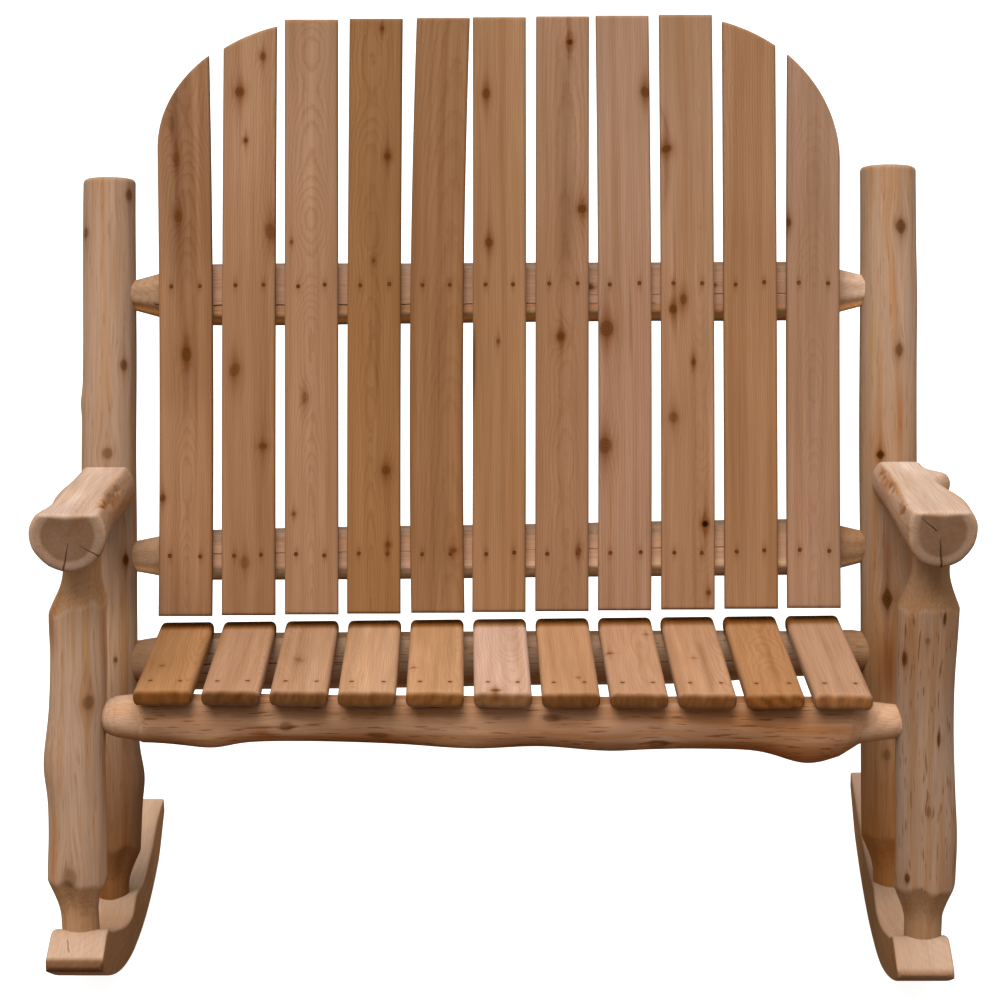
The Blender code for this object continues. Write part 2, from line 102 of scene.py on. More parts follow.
def mesh_piece(name, corner, faces, marks, material, slot, *nodes):
    """Mesh of quads or triangles with its marks as point attributes, riding on the chair."""
    sides = faces.shape[1]
    mesh = bpy.data.meshes.new(name)
    mesh.vertices.add(len(corner))
    mesh.vertices.foreach_set("co", corner.ravel())
    mesh.loops.add(faces.size)
    mesh.loops.foreach_set("vertex_index", faces.ravel())
    mesh.polygons.add(len(faces))
    mesh.polygons.foreach_set("loop_start", np.arange(0, faces.size, sides))
    mesh.update(calc_edges=True)
    mesh.shade_smooth()
    mesh.set_sharp_from_angle(angle=radians(50))
    for mark, values in marks.items():
        kind, field = ("FLOAT_VECTOR", "vector") if values.ndim == 2 else ("FLOAT", "value")
        mesh.attributes.new(mark, kind, "POINT").data.foreach_set(field, values.ravel())
    mesh.materials.append(material)
    piece = set_up(name, mesh)
    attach(piece, "root")
    if nodes:
        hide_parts(*nodes)


def add_rings(name, points, marks, material, slot, *nodes):
    """Closed skin through rings of points, an array of (rings, places round, xyz). Place j and
    place n - j of the first and last ring are one point, so each end folds shut on a line."""
    rings, around = points.shape[:2]
    number = np.arange(rings * around).reshape(rings, around)
    fold = np.minimum(np.arange(around), -np.arange(around) % around)
    number[0] = number[0][fold]
    number[-1] = number[-1][fold]
    ahead = np.roll(number, -1, axis=1)
    faces = np.stack((number[:-1], ahead[:-1], ahead[1:], number[1:]), axis=-1).reshape(-1, 4)
    used, faces = np.unique(faces, return_inverse=True)
    faces = faces.reshape(-1, 4)
    corner = points.reshape(-1, 3)[used]
    a, b, c, d = (corner[faces[:, k]] for k in range(4))
    if np.sum(np.cross(c - a, d - b) * (a + b + c + d - 4 * corner.mean(axis=0))) < 0:
        faces = faces[:, ::-1]
    marks = {mark: values.reshape(rings * around, *values.shape[2:])[used]
             for mark, values in marks.items()}
    mesh_piece(name, corner, faces, marks, material, slot, *nodes)


def fold_ends(rings):
    """Rings with one more at each end, in which every place meets its partner half way."""
    partner = -np.arange(rings.shape[1]) % rings.shape[1]
    first = (rings[:1] + rings[:1, partner]) / 2
    last = (rings[-1:] + rings[-1:, partner]) / 2
    return np.concatenate((first, rings, last))


def node_maker(tree):
    """Short way to add a node: its kind, its inputs (a value or a link each) and its settings."""
    def node(kind, inputs, **settings):
        item = tree.nodes.new(kind)
        for key, value in settings.items():
            setattr(item, key, value)
        for key, value in inputs.items():
            if isinstance(value, bpy.types.NodeSocket):
                tree.links.new(value, item.inputs[key])
            else:
                item.inputs[key].default_value = value
        return item
    return node


def ramp_of(node, value, *stops):
    """Colour ramp through stops of (place, grey or colour)."""
    item = node("ShaderNodeValToRGB", {0: value})
    for place, _ in stops[2:]:
        item.color_ramp.elements.new(place)
    for element, (place, colour) in zip(item.color_ramp.elements, stops):
        element.position = place
        element.color = (*np.broadcast_to(colour, 3), 1)
    return item.outputs[0]


DASH = (0.50, 0.34, 0.22, 1)
STAIN = (0.60, 0.42, 0.29, 1)
CRACK_DARK = (0.018, 0.009, 0.005, 1)
PIT_DARK = (0.010, 0.005, 0.003, 1)
CRACK_HALF = 0.0011
KNOT_WOOD = (0.096, 0.034, 0.007)
KNOT_LINE = (0.036, 0.010, 0.001)


def cedar(name, streak_size, streak, late, coarse):
    """Softwood drawn from marks on the surface: grain (across, depth, along), ring (how many
    growth rings deep a cut goes), tone (base colour), knot (distance in its own radii, how
    dark, stain round it) and check (distance from a crack, how open it is, how many dashes of
    left underbark there are). The tone is darkened by broad streaks, the late wood of cut
    rings, dashes, fibres, knots and cracks; streak and late are tints, coarse is how much the
    fibres show."""
    material = bpy.data.materials.new(name)
    material.use_nodes = True
    tree = material.node_tree
    node = node_maker(tree)

    def mark(name, output):
        return node("ShaderNodeAttribute", {}, attribute_name=name).outputs[output]

    def sums(operation, first, second=0.0, clamp=False):
        inputs = {0: first, 1: second}
        return node("ShaderNodeMath", inputs, operation=operation, use_clamp=clamp).outputs[0]

    def times(first, second, clamp=False):
        return sums("MULTIPLY", first, second, clamp)

    def noise(scale, detail):
        place = node("ShaderNodeVectorMath", {0: grain, 1: scale}, operation="MULTIPLY").outputs[0]
        return node("ShaderNodeTexNoise", {"Vector": place, "Scale": 1.0, "Detail": detail}).outputs[0]

    def mix(share, first, second, way="MULTIPLY"):
        inputs = {0: share, 6: first, 7: second}
        return node("ShaderNodeMix", inputs, data_type="RGBA", blend_type=way).outputs[2]

    grain = mark("grain", "Vector")
    ring = mark("ring", "Fac")
    knot = node("ShaderNodeSeparateXYZ", {0: mark("knot", "Vector")}).outputs
    check = node("ShaderNodeSeparateXYZ", {0: mark("check", "Vector")}).outputs
    fibre = noise((520, 520, 9), 2.0)
    cloud = noise((26, 26, 5), 2.0)
    drift = noise((12, 12, 2.4), 1.0)
    cut = times(ring, 1.0, True)
    streaks = ramp_of(node, noise(streak_size, 2.0), (0.47, 0), (0.68, 1))
    streaks = times(streaks, sums("SUBTRACT", 1.0, times(cut, 0.5)))
    dashes = times(ramp_of(node, noise((340, 340, 30), 1.0), (0.62, 0), (0.70, 1)), check[2])
    jagged = times(noise((160, 160, 95), 1.0), 0.7)
    wander = sums("ADD", times(cloud, 0.7), sums("ADD", times(fibre, 0.15), jagged))
    phase = sums("FRACT", sums("ADD", ring, wander))
    rings = ramp_of(node, phase, (0, 0), (0.5, 0.12), (0.86, 1), (1, 0))
    rings = times(times(rings, cut), ramp_of(node, drift, (0.35, 0.4), (0.62, 1)))

    colour = mark("tone", "Color")
    for pattern, tint in ((streaks, streak), (rings, late), (dashes, DASH)):
        colour = mix(pattern, colour, tint)
    colour = mix(1.0, colour, ramp_of(node, fibre, (0.3, 1 - coarse), (0.7, 1 + 0.75 * coarse)))
    broad = ramp_of(node, drift, (0.3, (0.90, 0.87, 0.82)), (0.7, (1.07, 1.08, 1.11)))
    colour = mix(1.0, colour, broad)
    colour = mix(knot[2], colour, STAIN)

    ragged = sums("ADD", times(cloud, 0.55), times(fibre, 0.30))
    rim = times(sums("ADD", knot[0], sums("SUBTRACT", ragged, 0.425)), 0.5)
    rims = (0, 0.10, 0.18, 0.27, 0.35, 0.39, 0.46, 0.58)
    heart = ramp_of(node, rim, *zip(rims, (KNOT_LINE, KNOT_WOOD) * 4))
    shade = ramp_of(node, rim, (0.38, 0.95), (0.52, 0.62), (0.62, 0.28), (0.95, 0))
    colour = mix(times(shade, knot[1], True), colour, heart, "MIX")
    hollow = times(sums("SUBTRACT", knot[1], 1.0, True), ramp_of(node, rim, (0.36, 1), (0.48, 0)))
    colour = mix(times(hollow, 2.5, True), colour, PIT_DARK, "MIX")

    gape = sums("DIVIDE", sums("ABSOLUTE", check[0]), CRACK_HALF)
    crack = times(sums("SUBTRACT", 1.0, gape, True), check[1])
    colour = mix(crack, colour, CRACK_DARK, "MIX")

    relief = times(fibre, 0.5)
    for carved, deep in ((rings, 0.25), (dashes, 0.4), (crack, 2.5)):
        relief = sums("SUBTRACT", relief, times(carved, deep))
    bump = node("ShaderNodeBump", {"Height": relief, "Strength": 0.30, "Distance": 0.0008})
    wood = tree.nodes["Principled BSDF"]
    tree.links.new(colour, wood.inputs["Base Color"])
    tree.links.new(bump.outputs[0], wood.inputs["Normal"])
    tree.links.new(ramp_of(node, fibre, (0.3, 0.68), (0.7, 0.54)), wood.inputs["Roughness"])
    wood.inputs["Specular IOR Level"].default_value = 0.0
    return material


def wood_marks(grain, ring, tone, knot=(9.0, 0, 0), check=(0, 0, 0), shift=0.0):
    """Marks for one piece. The grain is moved on by shift, so that no two pieces look alike."""
    size = grain.shape[:2]
    marks = {"grain": grain + shift, "ring": ring, "tone": tone, "knot": knot, "check": check}
    return {mark: np.broadcast_to(values, size + np.shape(values)[-1:] * (mark != "ring"))
            for mark, values in marks.items()}


def board_profile(width, thickness, round_over, places):
    """Round-edged rectangle, from the middle of the right edge over the top face to the left
    edge and back underneath, so that place j and place n - j have the same x."""
    bend = np.linspace(0, pi / 2, 6)
    x = width / 2 - round_over + round_over * np.cos(bend)
    y = thickness / 2 - round_over + round_over * np.sin(bend)
    face = np.linspace(width / 2 - round_over, round_over - width / 2, places)[1:-1]
    upper_x = np.concatenate(((width / 2,), x, face, -x[::-1], (-width / 2,)))
    upper_y = np.concatenate(((0,), y, np.full(places - 2, thickness / 2), y[::-1], (0,)))
    x = np.concatenate((upper_x, upper_x[-2:0:-1]))
    return x, np.concatenate((upper_y, -upper_y[-2:0:-1]))


sawn_cedar = cedar("sawn_cedar", (62, 62, 1.4), (0.93, 0.88, 0.83, 1), (0.94, 0.91, 0.88, 1), 0.09)

# Tops of the rockers, seen from the side: depth behind the front post and height, in
# millimetres. They rise from the nose to a crest before the post, sink in a hollow, and step
# up to the back post's pad.
left_top = (
    (-87, 104.5), (-70, 111), (-50, 119), (-32, 126), (-18, 128), (0, 124), (30, 112),
    (60, 103), (100, 91), (160, 74.5), (225, 61.5), (262, 58.5), (285, 64), (300, 70), (322, 72), (352, 69),
    (400, 65), (460, 70), (520, 81.2), (560, 90.5), (600, 99), (640, 104.5), (690, 108.5), (760, 114),
)
right_top = (
    (-87, 93.5), (-70, 100), (-50, 108.5), (-32, 115.5), (-18, 118.3), (0, 115), (30, 104),
    (60, 96), (100, 86), (160, 73.5), (225, 66.5), (262, 69), (285, 78.5), (300, 86), (322, 88.5),
    (360, 87), (420, 88), (480, 93), (540, 102), (620, 116.5), (700, 132.5), (780, 149),
)
ROCKER_EDGE = 0.07
ROCKER_CORNER = 0.007
TAIL_SLANT = 0.40
TAIL_LIFT = 0.028
CREST = 0.115
# Painted shade: the rockers' undersides and flanks are darkened for the shade that falls on them.
PAINTED_UNDER_SHADE = np.array((-0.20, -0.26, -0.32))
PAINTED_FLANK_SHADE = np.array((0.25, 0.39, 0.57))
TAIL_PALE = 0.38
# side, shift to the right, skew, splay, tail, place of the lowest point, paleness, and how the
# hollow (a warmer tint, and on the right rocker painted light) and the end grain at the nose change in colour
for side_name, side, shift, skew, splay, tail, contact, pale, hollow_tint_and_light, end_dark, top in (
    ("left", -1, 0.0, 0.0205, 0.0, 0.685, 0.3365, 1.0, (0.05, -0.05, -0.14), (0.68, 0.775, 0.85), left_top),
    ("right", 1, 0.003, 0.0145, 0.062, 0.728, 0.314, 0.93, (0.27, 0.20, 0.09), (0.42, 0.56, 0.66), right_top),
):
    bend = np.linspace(0, pi / 2, 7)
    nose_rows = ROCKER_NOSE + ROCKER_CORNER * (1 - np.sin(bend[::-1]))
    tail_rows = tail - ROCKER_CORNER * (1 - np.sin(bend))
    middle = np.linspace(nose_rows[-1] + 0.003, tail_rows[0] - 0.003, 230)
    along = np.concatenate((nose_rows, middle, tail_rows))
    pinch = np.concatenate((1 - np.cos(bend[::-1]), np.zeros(len(middle)), 1 - np.cos(bend)))
    pinch = (ROCKER_CORNER * pinch)[:, None]
    under = ROCKER_RADIUS - np.sqrt(ROCKER_RADIUS ** 2 - (along - contact) ** 2)
    under = under + TAIL_LIFT * step(tail - 0.10, tail + 0.015, along)
    over = through(np.array(top) * MM, along)[:, 0]
    flank_x, flank_y = board_profile(1.0, 1.0, ROCKER_EDGE, 26)
    height = (over - under)[:, None] - 1.6 * pinch
    x = flank_x * (ROCKER_WIDTH - 2 * pinch)
    z = ((over + under) / 2)[:, None] + height * flank_y
    y = along[:, None] - TAIL_SLANT * (z - under[:, None]) * step(tail - 0.20, tail, along)[:, None]
    local = fold_ends(np.stack((x, z, y), axis=-1))
    across, rise, depth = np.moveaxis(local, -1, 0)
    roll = splay * (1 - 0.5 * step(-0.02, 0.20, depth))
    stand = side * SIDE_X + shift + skew * depth + roll * (CREST - rise)
    points = np.stack((stand + across, depth, rise), axis=-1) + CHAIR_SHIFT
    pith = np.hypot(across - 0.16 * side, rise - 0.34 + 0.05 * np.sin(4 * depth))
    sawn_end = 1 - step(0, 0.012, depth - ROCKER_NOSE + 0.003 * side)
    # Masks for the painted shade on the flanks and along the underside.
    flank = step(0.480, 0.4995, np.abs(across) / ROCKER_WIDTH) * (1 - sawn_end)
    below = step(0.44, 0.499, -flank_y) * (1 - sawn_end)
    # A warmer tint in the hollow, and on the right rocker painted light that lifts the shade under the posts.
    hollow = step(0.01, 0.07, depth) * step(0.32, 0.25, depth) * (1 - flank)
    tone = PALE_SAWN * (1 - sawn_end[..., None] * end_dark - flank[..., None] * PAINTED_FLANK_SHADE) * pale
    for share, change in ((step(0.45, 0.60, depth), TAIL_PALE), (below, PAINTED_UNDER_SHADE), (hollow, hollow_tint_and_light)):
        tone = tone * (1 + share[..., None] * change)
    check = np.zeros(local.shape)
    if side_name == "left":  # one short crack on top of the nose
        check[..., 0] = across + 0.010 + 0.19 * (depth + 0.06) + 0.0005 * np.sin(420 * depth)
        check[..., 1] = 0.8 * ((np.abs(depth + 0.0535) < 0.0125) & (rise > 0.1))
    marks = wood_marks(local * (1, 0.2, 1), 2 + pith / 0.0085, tone, check=check, shift=side * 3.0)
    add_rings(f"{side_name}_runner", points, marks, sawn_cedar, "sawn_rocker", f"{side_name}_rocker")

# Posts
# Peeled logs, drawn smooth with a drawknife. Each end is turned to a bottle-necked tenon, and
# the lathe cuts through the log's own bulges, so the edge of the turned part runs unevenly.
TENON_RADIUS = 0.0252
NECK = 0.016
SHOULDER = 0.068
RING = 0.0026
PEELED = np.array((0.308, 0.196, 0.129))
GREYED = np.array((0.258, 0.166, 0.115))
TURNED = np.array((0.92, 0.82, 0.65))
HEARTWOOD = np.array((0.435, 0.388, 0.355))
SAPWOOD = np.array((0.70, 0.72, 0.755))
TORN = np.array((0.84, 0.68, 0.53))
CHIPPED = np.array((0.72, 0.57, 0.44))
LOG_AROUND = 112
LOG_SPACING = 0.0031
FLUTE_DEPTH = 0.0004
TEAR_HEIGHT = 0.0028
CHIP_DEPTH = 0.0042
PERCENT = 0.01
peeled_cedar = cedar("peeled_cedar", (70, 70, 3.4), (0.94, 0.79, 0.60, 1), (0.91, 0.85, 0.78, 1), 0.14)


def lumps(seed, turn, along, waves=10):
    """Sum of waves that run round the log a whole number of times and wander along it."""
    rng = np.random.default_rng(seed)
    times = rng.integers(1, 5, waves)
    pace = rng.uniform(-16, 16, waves)
    start = rng.uniform(0, 2 * pi, waves)
    size = rng.uniform(0.4, 1.0, waves) / times
    phase = times * turn[..., None] + pace * along[..., None] + start
    return np.sum(size * np.sin(phase), axis=-1) / 2


def smooth_least(first, second, blend):
    """The smaller of two, with the crossing rounded by a log of summed exponentials."""
    return np.minimum(first, second) - blend * np.log1p(np.exp(-np.abs(first - second) / blend))


def frame_along(start, end):
    """Axes of a log: across and upward at right angles to it, upward as near up as it goes,
    or to the front where the log stands."""
    axis = (end - start) / np.linalg.norm(end - start)
    guide = np.array((0, 0, 1.0)) if abs(axis[2]) < 0.7 else np.array((0, -1.0, 0))
    across = np.cross(guide, axis)
    across /= np.linalg.norm(across)
    return across, np.cross(axis, across), axis


def bottle_neck(distance, full, neck=NECK, shoulder=SHOULDER):
    """Turned radius at a distance from the tenon's shoulder line: the tenon's own radius over
    the neck, then a smooth S up to past the full log."""
    rise = step(neck, neck + shoulder * 1.25, distance)
    return TENON_RADIUS + (full * 1.22 - TENON_RADIUS) * rise


def crack_marks(local, checks, seed):
    """Each crack runs from a base to a tip and narrows to it; the mark is the distance from
    its line along the surface over its width, and whether the crack reaches there."""
    check = np.zeros(local.shape)
    for base, tip, reach, wide in checks:
        base, tip = np.array(base) * MM, np.array(tip) * MM
        run = np.linalg.norm(tip - base)
        ahead = (tip - base) / run
        outward = np.array((0, 0, 1.0)) if abs(ahead[2]) < 0.7 else np.array((base[0], base[1], 0))
        sideways = np.cross(ahead, outward / np.linalg.norm(outward))
        part = np.sum((local - base) * ahead, axis=-1)
        away = local - base - part[..., None] * ahead
        offset = away @ sideways + 0.0003 * np.sin(300 * part + seed)
        near = (np.linalg.norm(away, axis=-1) < reach * MM) & (part > -0.002) & (part < run)
        narrow = wide * np.clip(1 - part / run, 0.15, 1) ** 0.5
        check[..., 0] = np.where(near, offset / narrow, check[..., 0])
        check[..., 1] = np.where(near, 1.0, check[..., 1])
    return check


def log_piece(name, node, start, end, stations, seed, turned=None, flats=(), bulges=(), knots=(),
              patches=(), torn=(), checks=(), tone=PEELED, flat_tint=TURNED, turned_tint=TURNED,
              dashes=0.3, cap=(0.006, 0.006), blend=0.0005, lump=0.010):
    """A log: the radius at a place along and a turn round it is that of the stations, times
    lumps and shallow drawknife flutes, plus bulges, torn places and swellings at the knots,
    cut back to the smallest of the turned radius and the sawn flats, with rounded ends. How
    deep the cut goes gives the ring count there, and the grain bends round each knot. The lists
    have millimetres along the log, degrees round it, and hundredths for changes of colour."""
    start, end = np.array(start) + CHAIR_SHIFT, np.array(end) + CHAIR_SHIFT
    across, upward, axis = frame_along(start, end)
    length = np.linalg.norm(end - start)
    bend = np.linspace(0, pi / 2, 6)[1:]
    middle = np.linspace(0, length, int(length / LOG_SPACING))
    middle = middle[(middle > cap[0]) & (middle < length - cap[1])]
    low, high = cap[0] * (1 - np.sin(bend[::-1])), length - cap[1] * (1 - np.sin(bend))
    along = np.concatenate((low, middle, high))
    shrink = np.append(np.linspace(1, 0, 10)[1:-1], 0.02)
    rows = len(shrink)
    along = np.concatenate((np.zeros(rows), along, np.full(rows, length)))
    place, angle = np.meshgrid(along, 2 * pi * np.arange(LOG_AROUND) / LOG_AROUND, indexing="ij")
    shape = through(np.array([(*row, 0, 0)[:4] for row in stations]) * MM, along)

    def apart(toward):
        return np.angle(np.exp(1j * (angle - radians(toward))))

    def spot(where, toward, reach, spread):
        return bell(place - where * MM, reach * MM) * bell(apart(toward), spread)

    bark = shape[:, :1] * (1 + lump * lumps(seed, angle, place))
    bark = bark - FLUTE_DEPTH * np.abs(np.sin(5.5 * angle + 1.6 * np.sin(5 * place + seed)))
    for where, toward, size, reach, spread in bulges:
        bark = bark + size * MM * spot(where, toward, reach, spread)
    ragged = np.zeros(place.shape)
    for rip in torn:
        ragged = ragged + spot(*rip)
    rough = lumps(seed + 7, 5 * angle, 9 * place) + 0.6 * lumps(seed + 8, 9 * angle, 16 * place)
    bark = bark + TEAR_HEIGHT * ragged * rough
    bent, stain = angle.copy(), np.zeros(place.shape)
    nearest, dark = np.full(place.shape, 9.0), np.zeros(place.shape)
    for where, toward, size, strength, stretch, power in knots:
        size = size * MM
        aside, ahead = apart(toward) * bark, place - where * MM
        bark = bark + 0.10 * size * bell(aside, 2 * size) * bell(ahead, 2.5 * size)
        bent = bent - 0.8 * apart(toward) * bell(aside, 2.4 * size) * bell(ahead, 4.5 * size)
        stain = stain + strength * (0.45 * bell(aside, 1.7 * size) * bell(ahead, 3.2 * size)
                                    + 0.5 * bell(aside, 0.45 * size) * bell(ahead, 8 * size))
        radii = np.abs(aside / size) ** power + np.abs(ahead / (stretch * size)) ** power
        radii = radii ** (1 / power)
        dark = np.where(radii < nearest, strength, dark)
        nearest = np.minimum(nearest, radii)

    surface = bark
    if turned:
        surface = np.minimum(bark, turned(place, angle, length, shape[:, :1]))
    lathe = bark - surface
    for toward, *sizes in flats:
        distance, low, high = np.array(sizes) * MM
        facing = np.cos(angle - radians(toward))
        plane = distance + 0.03 * (step(low, low - 0.018, place) + step(high, high + 0.018, place))
        plane = np.where(facing > 0.05, plane / np.maximum(facing, 0.05), 1.0)
        surface = smooth_least(surface, plane, blend)
    sawn = bark - lathe - surface
    chips = np.clip(ragged * (0.25 + rough), 0, 1)
    surface = surface - CHIP_DEPTH * chips
    rounding = np.zeros(place.shape)
    for reach, distance in ((cap[0], place), (cap[1], length - place)):
        rounding = rounding + reach * (1 - np.sqrt(1 - np.clip(1 - distance / reach, 0, 1) ** 2))
    shrunk = np.concatenate((shrink[::-1], np.ones(len(along) - 2 * rows), shrink))[:, None]
    surface = (surface - rounding) * shrunk
    end_share = np.clip(1 - place / cap[0], 0, 1) ** 6
    end_share = end_share + np.clip(1 - (length - place) / cap[1], 0, 1) ** 6

    depth = 1 - surface / bark
    ring = np.maximum(0, bark - surface - 0.0005) / RING
    ring = ring * (1 + 0.25 * lumps(seed + 9, angle, 0.4 * place))
    colour = tone * (1 - 0.05 * lumps(seed + 50, angle, place * 1.4))[..., None]
    for share, tint in (
        (step(0.0005, 0.0020, lathe), turned_tint),
        (step(0.0008, 0.0030, sawn) * (1 - end_share), flat_tint),
        (step(0.24, 0.31, depth) * end_share, HEARTWOOD),
        (step(0.31, 0.24, depth) * end_share, SAPWOOD),
        (np.clip(ragged * (0.6 + rough), 0, 1), TORN),
        (chips, CHIPPED),
    ):
        colour = colour * (1 + share[..., None] * (tint - 1))
    for *where, change in patches:
        colour = colour * (1 + spot(*where)[..., None] * np.array(change) * PERCENT)
    on_side = 1 - np.clip(end_share, 0, 1)
    knot = np.stack((nearest, dark * on_side, np.clip(stain, 0, 1) * on_side), axis=-1)

    def placed(turn):
        x, y = shape[:, 1:2] + surface * np.cos(turn), shape[:, 2:] + surface * np.sin(turn)
        return np.stack((x, y, place), axis=-1)

    local, grain = fold_ends(placed(angle)), fold_ends(placed(bent))
    ring, colour, knot = (np.concatenate((v[:1], v, v[-1:])) for v in (ring, colour, knot))
    points = start + local[..., :1] * across + local[..., 1:2] * upward + local[..., 2:] * axis
    check = crack_marks(local, checks, seed)
    check[..., 2] = dashes * np.clip(1 - ring, 0, 1)
    marks = wood_marks(grain, ring, colour, knot, check, shift=0.37 * seed)
    add_rings(name, points, marks, peeled_cedar, "peeled_log", node)


def scallop(angle, phase):
    """How far the edge of a turned part runs up or down round the log."""
    return 0.0035 * np.sin(3 * angle + phase) + 0.0025 * np.sin(7 * angle + 2 * phase)


def spots_on_front(shift, *spots):
    """Spots on a post, seen from the front: places along it are moved by shift, and the share of
    its radius to the right of its middle becomes a turn round it."""
    return [(place + shift / MM, np.degrees(np.arccos(-share)), *rest) for place, share, *rest in spots]


FRONT_PAD = 0.131
FRONT_TOP = 0.6315
TENON = 0.030


def front_turned(askew, stocky):
    """A bottle neck at the foot, shorter if it is stocky, and another at the head, cut lower on
    the left if it is askew."""
    def turned(place, angle, length, full):
        foot = bottle_neck(place - TENON + stocky + scallop(angle, 1.0), full)
        below = length - TENON - place + scallop(angle, 2.5) - askew * np.cos(angle)
        return np.minimum(foot, bottle_neck(below, full, 0.010, 0.072))
    return turned


# stations (place, radius, shift to the left), bulges (place, turn, height, reach, spread), knots
# (height, share to the right, size, darkness, stretch, squareness), patches (place, share to
# the right, reach, spread, change of red, green and blue)
log_piece(
    "left_front_log", "left_front_post", (-SIDE_X, 0, FRONT_PAD - TENON), (-SIDE_X, 0, FRONT_TOP + TENON),
    ((0, 39.5, 0), (100, 40.2, 3), (160, 39.2, 1.5), (210, 39.2, 1.5), (270, 40.4, 2.6), (330, 38.6, -1.8),
     (400, 38.2, -5), (470, 38.6, -5.5), (500, 38.6, -9.5), (560, 38.6, -16)),
    seed=3, turned=front_turned(askew=0.007, stocky=0.0),
    knots=spots_on_front(TENON - FRONT_PAD, (448, 0.45, 7.2, 0.6, 1.2, 2), (208, -0.18, 9.5, 0.5, 1.3, 2)),
    bulges=((245, 10, 2.5, 30, 0.8),),
    patches=spots_on_front(0, (450, -0.85, 40, 0.25, (-30, -48, -60)),
        (140, -0.75, 50, 0.2, (-5, -25, -45)), (420, 0.9, 60, 0.15, (-10, -25, -35)),
        (420, -1, 60, 9, (13, 14, 13)), (545, -1, 60, 9, (26, 36, 50))),
)
log_piece(
    "right_front_log", "right_front_post", (SIDE_X, 0, FRONT_PAD - TENON), (SIDE_X, 0, FRONT_TOP + TENON),
    ((0, 40, -7), (100, 41, -8.5), (150, 41.2, -9), (220, 40.2, -6), (300, 39, -3.5), (360, 39, -3),
     (440, 40.8, -4.5), (500, 41.4, -6), (560, 41.4, -7)),
    seed=5, turned=front_turned(askew=0.0, stocky=0.009), tone=GREYED, dashes=0.8,
    knots=spots_on_front(TENON - FRONT_PAD, (505, -0.8, 4.8, 1, 2, 2), (562, 0.42, 2.2, 1, 4, 2),
        (533, -0.1, 3, 0.5, 1.2, 2), (398, 0.38, 2.2, 1, 5, 2), (205, -0.66, 3.8, 1, 1.6, 2),
        (300, 0, 3, 0.5, 2.4, 2)),
    patches=spots_on_front(0, (420, -1, 70, 9, (-7, -15, -26)), (260, -1, 70, 9, (5, 9, 12)),
        (545, -1, 50, 9, (12, 16, 22))),
)


BACK_DEPTH = 0.322
BACK_PAD = 0.069
BACK_TOP = 1.028


def lean(x, rise, forward=0.0):
    """Point on the leaning back: rise along a back post, forward out of its axis."""
    depth = BACK_DEPTH + rise * sin(RECLINE) - forward * cos(RECLINE)
    return (x, depth, BACK_PAD + rise * cos(RECLINE) + forward * sin(RECLINE))


def back_turned(place, angle, length, full):
    """A bottle neck at the foot only."""
    return bottle_neck(place - TENON + scallop(angle, 4.0), full)


# Painted shade: the back posts and the upper back rail get a darker tone than the front posts for how the
# light falls on the leaning back.
BACK_SHADE = 0.90
BACK_FOOT = np.array((0.97, 0.92, 0.84))
RIGHT_RISE = 0.018
log_piece(
    "left_back_log", "left_back_post", lean(-SIDE_X, -TENON), lean(-SIDE_X, BACK_TOP),
    ((0, 40, -6), (100, 41.5, -7), (190, 42.5, -7.5), (250, 40.5, -5), (420, 40, -2), (550, 40, -1),
     (660, 39.6, 0.2), (800, 38.8, -0.4), (920, 38.4, 0.6), (1000, 38.1, 1), (1060, 37.8, 0.8)),
    seed=7, turned=back_turned, tone=PEELED * BACK_SHADE, turned_tint=BACK_FOOT,
    bulges=((735, 0, 2.2, 18, 0.6), (200, 180, 4, 30, 0.7)),
    knots=spots_on_front(TENON, (1003, 0.8, 6, 0.8, 1.4, 2), (948, -0.82, 6, 0.7, 1.2, 2),
        (757, 0.6, 6, 0.8, 1.3, 2), (630, 0.05, 6.5, 0.65, 1.1, 2), (478, 0.66, 4.8, 1.05, 1.6, 1.7),
        (335, 0.3, 2.6, 0.8, 1.4, 2)),
    # The first patch is painted shade at the foot; the second is painted light where the arm and seat shade
    # the post.
    patches=spots_on_front(0, (20, -1, 260, 9, (-46, -65, -82)), (380, -1, 70, 9, (46, 50, 46))),
)
log_piece(
    "right_back_log", "right_back_post",
    lean(SIDE_X, RIGHT_RISE - TENON), lean(SIDE_X, RIGHT_RISE + BACK_TOP),
    ((0, 41, 2), (200, 41.5, 2.5), (450, 41.5, 2.5), (660, 41.7, 2.6), (800, 41.6, 1.8), (870, 41.6, 1),
     (950, 40.7, 1.2), (1030, 40.3, 1), (1080, 40.2, 1)),
    seed=11, turned=back_turned, tone=PEELED * BACK_SHADE, turned_tint=BACK_FOOT,
    knots=spots_on_front(TENON - RIGHT_RISE, (956, 0.35, 7.5, 0.9, 1.4, 1.5), (778, 0.28, 6, 0.8, 1.8, 1.5),
        (628, -0.36, 5.5, 1.2, 1.1, 1.4), (422, -0.16, 8.5, 1.05, 2, 1.1), (200, -0.2, 5, 0.5, 1.3, 2)),
    # Several patches are painted shade, partly also the post's own orange heartwood: at the foot, between
    # seat and arm, and on the right half under the arm.
    patches=spots_on_front(0, (340, -0.16, 50, 0.16, (-18, -36, -50)),
        (320, -0.2, 70, 1.2, (-34, -42, -50)), (860, 0.1, 50, 0.09, (-2, -22, -46)),
        (800, -0.65, 60, 0.14, (-4, -10, -38)), (700, 0.3, 50, 0.1, (-6, -26, -46)),
        (20, -1, 260, 9, (-5, -35, -68)), (980, -1, 120, 9, (6, 7, 7)),
        (360, -1, 80, 9, (-15, -25, -43)), (660, -1, 90, 9, (-1, -7, -15)),
        (495, -0.16, 50, 0.22, (-36, -50, -62)), (510, 0.55, 70, 0.45, (-28, -40, -52))),
)

